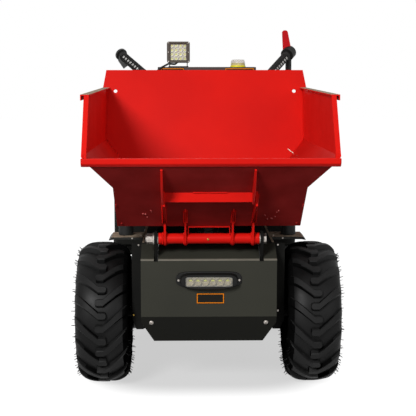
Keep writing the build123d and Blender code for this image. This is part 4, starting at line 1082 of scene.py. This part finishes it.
def makeWorkLight():
    low, high, centre, half = spanOf("work_light_body")
    window = spanOf("work_light_lens")[3].x
    front, back = low.y, high.y
    sizes = [(half.x - inset, half.z - inset, radius, y) for inset, radius, y in inMetres(workLook["steps"])]
    sizes += [(window + more, window + more, radius, y) for more, radius, y in inMetres(workLook["window"])]
    body = [loft([[(centre.x + a, front + behind, centre.z + b) for a, b in roundedLoop(wide, tall, radius, 4)]
                  for wide, tall, radius, behind in sizes])]
    count = int((half.x * 2 - 0.018) / workLook["finGap"])
    thick = workLook["finThick"] / 2
    for k in range(count):
        x = centre.x + (k - (count - 1) / 2) * workLook["finGap"]
        body.append(slabShape((x - thick, front + 0.022, low.z + 0.008), (x + thick, back, high.z - 0.008), 0.0004))
    body.append(slabShape((low.x + 0.01, front + 0.022, low.z + 0.01),
                          (high.x - 0.01, back - 0.008, high.z - 0.01), 0.0008))
    addPiece("workLightHousing", joined(*body), lampAlloy, sharpAngle=30, stands=("work_light_body",))
    steps = [(k - (workLook["rows"] - 1) / 2) * workLook["cupPitch"] for k in range(workLook["rows"])]
    edgeX, edgeZ = half.x - workLook["screwIn"], half.z - workLook["screwIn"]
    screws = [(sx * edgeX, 0.0004, sz * edgeZ) for sx in (1, -1) for sz in (1, 0, -1)]
    fitWindow("workLight", "work_light_lens", workLook, front, [(x, z) for z in steps for x in steps], screws)


makeWorkLight()


# beacon: yellow base with a clear dome over it

def makeBeacon():
    low, high, centre, half = spanOf("beacon_base")
    radius, z0, z1, z2 = half.x, low.z, high.z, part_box("beacon_dome")[1].z
    foot, up = Vector((centre.x, centre.y, 0)), (0, 0, 1)
    base = [(0, z0), (radius, z0), (radius, z0 + 0.003), (radius - 0.0015, z0 + 0.0042), (radius - 0.0015, z1 - 0.0008),
            (radius - 0.0035, z1), (radius - 0.0035, z1 + 0.006), (radius - 0.0045, z1 + 0.0066), (0, z1 + 0.0066)]
    addTurned("beaconBase", base, 48, foot, up, yellowPlastic, stands=("beacon_base",))
    skirt = radius - 0.001
    outer = [(skirt, z1 - 0.003)]
    for k in range(1, 7):
        t = k * math.pi / 12
        outer.append((skirt - 0.0015 * k / 6 - 0.008 * (1 - math.cos(t)) ** 2, z1 + (z2 - z1) * math.sin(t)))
    outer += [(0.006, z2 - 0.0002), (0, z2)]
    inner = [(0, z2 - 0.0018), (0.006, z2 - 0.002)] + [(r - 0.0017, z - 0.0017) for r, z in reversed(outer[1:-2])]
    inner.append((skirt - 0.0017, z1 - 0.003))
    addTurned("beaconDome", outer + inner, 48, foot, up, clearDome, stands=("beacon_dome",))


makeBeacon()


# grips with moulded ribs, and a row of pale studs that are painted highlights

# knee and end of the bar, as (to the side of its own middle, behind the console's back, above its top)
gripLook = {
    "middles": {"knee": 0.0133, "end": 0.0053}, "knee": (0.214, -0.03, -0.0325), "end": (0.3067, 0.115, 0.048),
    "length": 0.158, "cap": 0.014, "radius": 0.016, "ribPitch": 0.0068, "studPitch": 0.0165,
    "studTurn": {"left": 0.45, "right": 0.05},
    "rib": ((13, -1.9), (15.6, -1.1), (15.8, 0), (15.6, 1.1), (13, 1.9)),
    "capShape": ((0, -0.5), (21.5, -0.5), (22, 1), (22, 8), (19.5, 11.5), (12, 12), (0, 12))}


def alongGrip(start, run, first, spare, pitch):
    # points every pitch along the grip, from first on, leaving spare at both ends together
    return [start + run * (first + pitch * (k + 0.5)) for k in range(int((gripLook["length"] - spare) / pitch))]


def makeGrip(side, outward):
    back = Vector((0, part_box("console")[1].y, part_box("console")[1].z))
    knee, end = (back + Vector((gripLook["middles"][name] + outward * gripLook[name][0], *gripLook[name][1:]))
                 for name in ("knee", "end"))
    run, name = (end - knee).normalized(), side.capitalize()
    radius, length, bore = gripLook["radius"], gripLook["length"], 0.0112
    start, stop = end - run * (length + gripLook["cap"]), end - run * gripLook["cap"]
    sleeve = [(bore, 0), (radius - 0.001, 0), (radius, 0.0015), (radius, 0.006), (radius - 0.0022, 0.009),
              (radius - 0.0022, length - 0.012), (radius, length - 0.009), (radius, length - 0.001),
              (radius - 0.001, length), (bore, length)]
    addTurned("gripSleeve" + name, sleeve, 32, start, run, gripPlastic, ring=True, stands=("grip_" + side,))
    places = [(point, run) for point in alongGrip(start, run, 0.012, 0.024, gripLook["ribPitch"])]
    repeatOn("gripRibs" + name, lathe(inMetres(gripLook["rib"]), 20, ring=True), places, gripPlastic, sharpAngle=50)
    lead = Vector((gripLook["studTurn"][side], -1, -0.05))
    down = (lead - run * lead.dot(run)).normalized()
    # pale pads along the front of the grip stand in for its row of highlights: painted highlight
    pad = slabShape((-0.0042, -0.0036, -0.0012), (0.0042, 0.0036, 0.0022), 0.0008)
    places = [(point + down * (radius - 0.001), down)
              for point in alongGrip(start, run, 0.016, 0.03, gripLook["studPitch"])]
    repeatOn("gripStuds" + name, pad, places, gripHighlightPlastic)
    if side == "right":
        addTurned("gripCapRight", inMetres(gripLook["capShape"]), 40, stop, run, blackPlastic, slotName="grip_plastic")


for side, outward in (("left", 1), ("right", -1)):
    makeGrip(side, outward)


# console: blank amber plates on its front, a gauge, key switch, stop button and rockers on the sloping top

consoleLow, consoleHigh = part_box("console")
for name, x0, x1 in (("consolePlateRight", -0.148, -0.068), ("consolePlateLeft", 0.0709, 0.1696)):
    shape = slabShape((x0, consoleLow.y - 0.0012, consoleHigh.z - 0.024),
                      (x1, consoleLow.y + 0.0004, consoleHigh.z - 0.003), 0.0003)
    middle = Vector(((x0 + x1) / 2, 0, consoleHigh.z - 0.0135))
    addPiece(name, shape, plateFace(name + "Vinyl", middle, ((x1 - x0) / 2, 0.0105)))

consoleLook = {"flat": 0.084, "slopeRun": 0.086, "slopeFall": 0.022}
slope = Vector((0, 0.235, 0.972)).normalized()


def onConsole(x, back):
    # a point on the sloping rear of the console's top, back metres behind its flat part
    fall = consoleLook["slopeFall"] * back / consoleLook["slopeRun"]
    return Vector((x, consoleLow.y + consoleLook["flat"] + back, consoleHigh.z - fall))


# each as outline in millimetres, steps, across, back along the slope, finish
controls = {
    "chargeGauge": (((0, -1), (24, -1), (24, 3), (22, 4.5), (20.5, 3), (0, 2.8)), 40, 0.0078, 0.042, blackPlastic),
    "keySwitch": (((0, -1), (11, -1), (11, 4), (9, 6), (5, 6), (5, 4.5), (0, 4.5)), 32, 0.08, 0.042, zincSteel),
    "stopButton": (((0, -1), (13, -1), (13, 3), (18, 4), (18.5, 7), (15, 10), (0, 10.8)), 32, -0.095, 0.046,
                   redPlastic)}
for name, (outline, steps, x, behind, finish) in controls.items():
    addTurned(name, inMetres(outline), steps, onConsole(x, behind), slope, finish)
rocker = joined(slabShape((-0.011, -0.008, -0.001), (0.011, 0.008, 0.003), 0.001),
                slabShape((-0.008, -0.005, 0.002), (0.008, 0.005, 0.0055), 0.0015))
repeatOn("rockerSwitches", rocker, [(onConsole(x, 0.06), slope) for x in (-0.045, 0.135)], blackPlastic)

lidLow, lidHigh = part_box("battery_lid")
screws = [((x, y, lidHigh.z - 0.0003), (0, 0, 1)) for x in (-0.25, 0.25) for y in (lidLow.y + 0.035, lidHigh.y - 0.035)]
repeatOn("lidScrews", panScrew(0.006, 0.0035), screws, zincSteel, spin=2.0)
print("details ready")
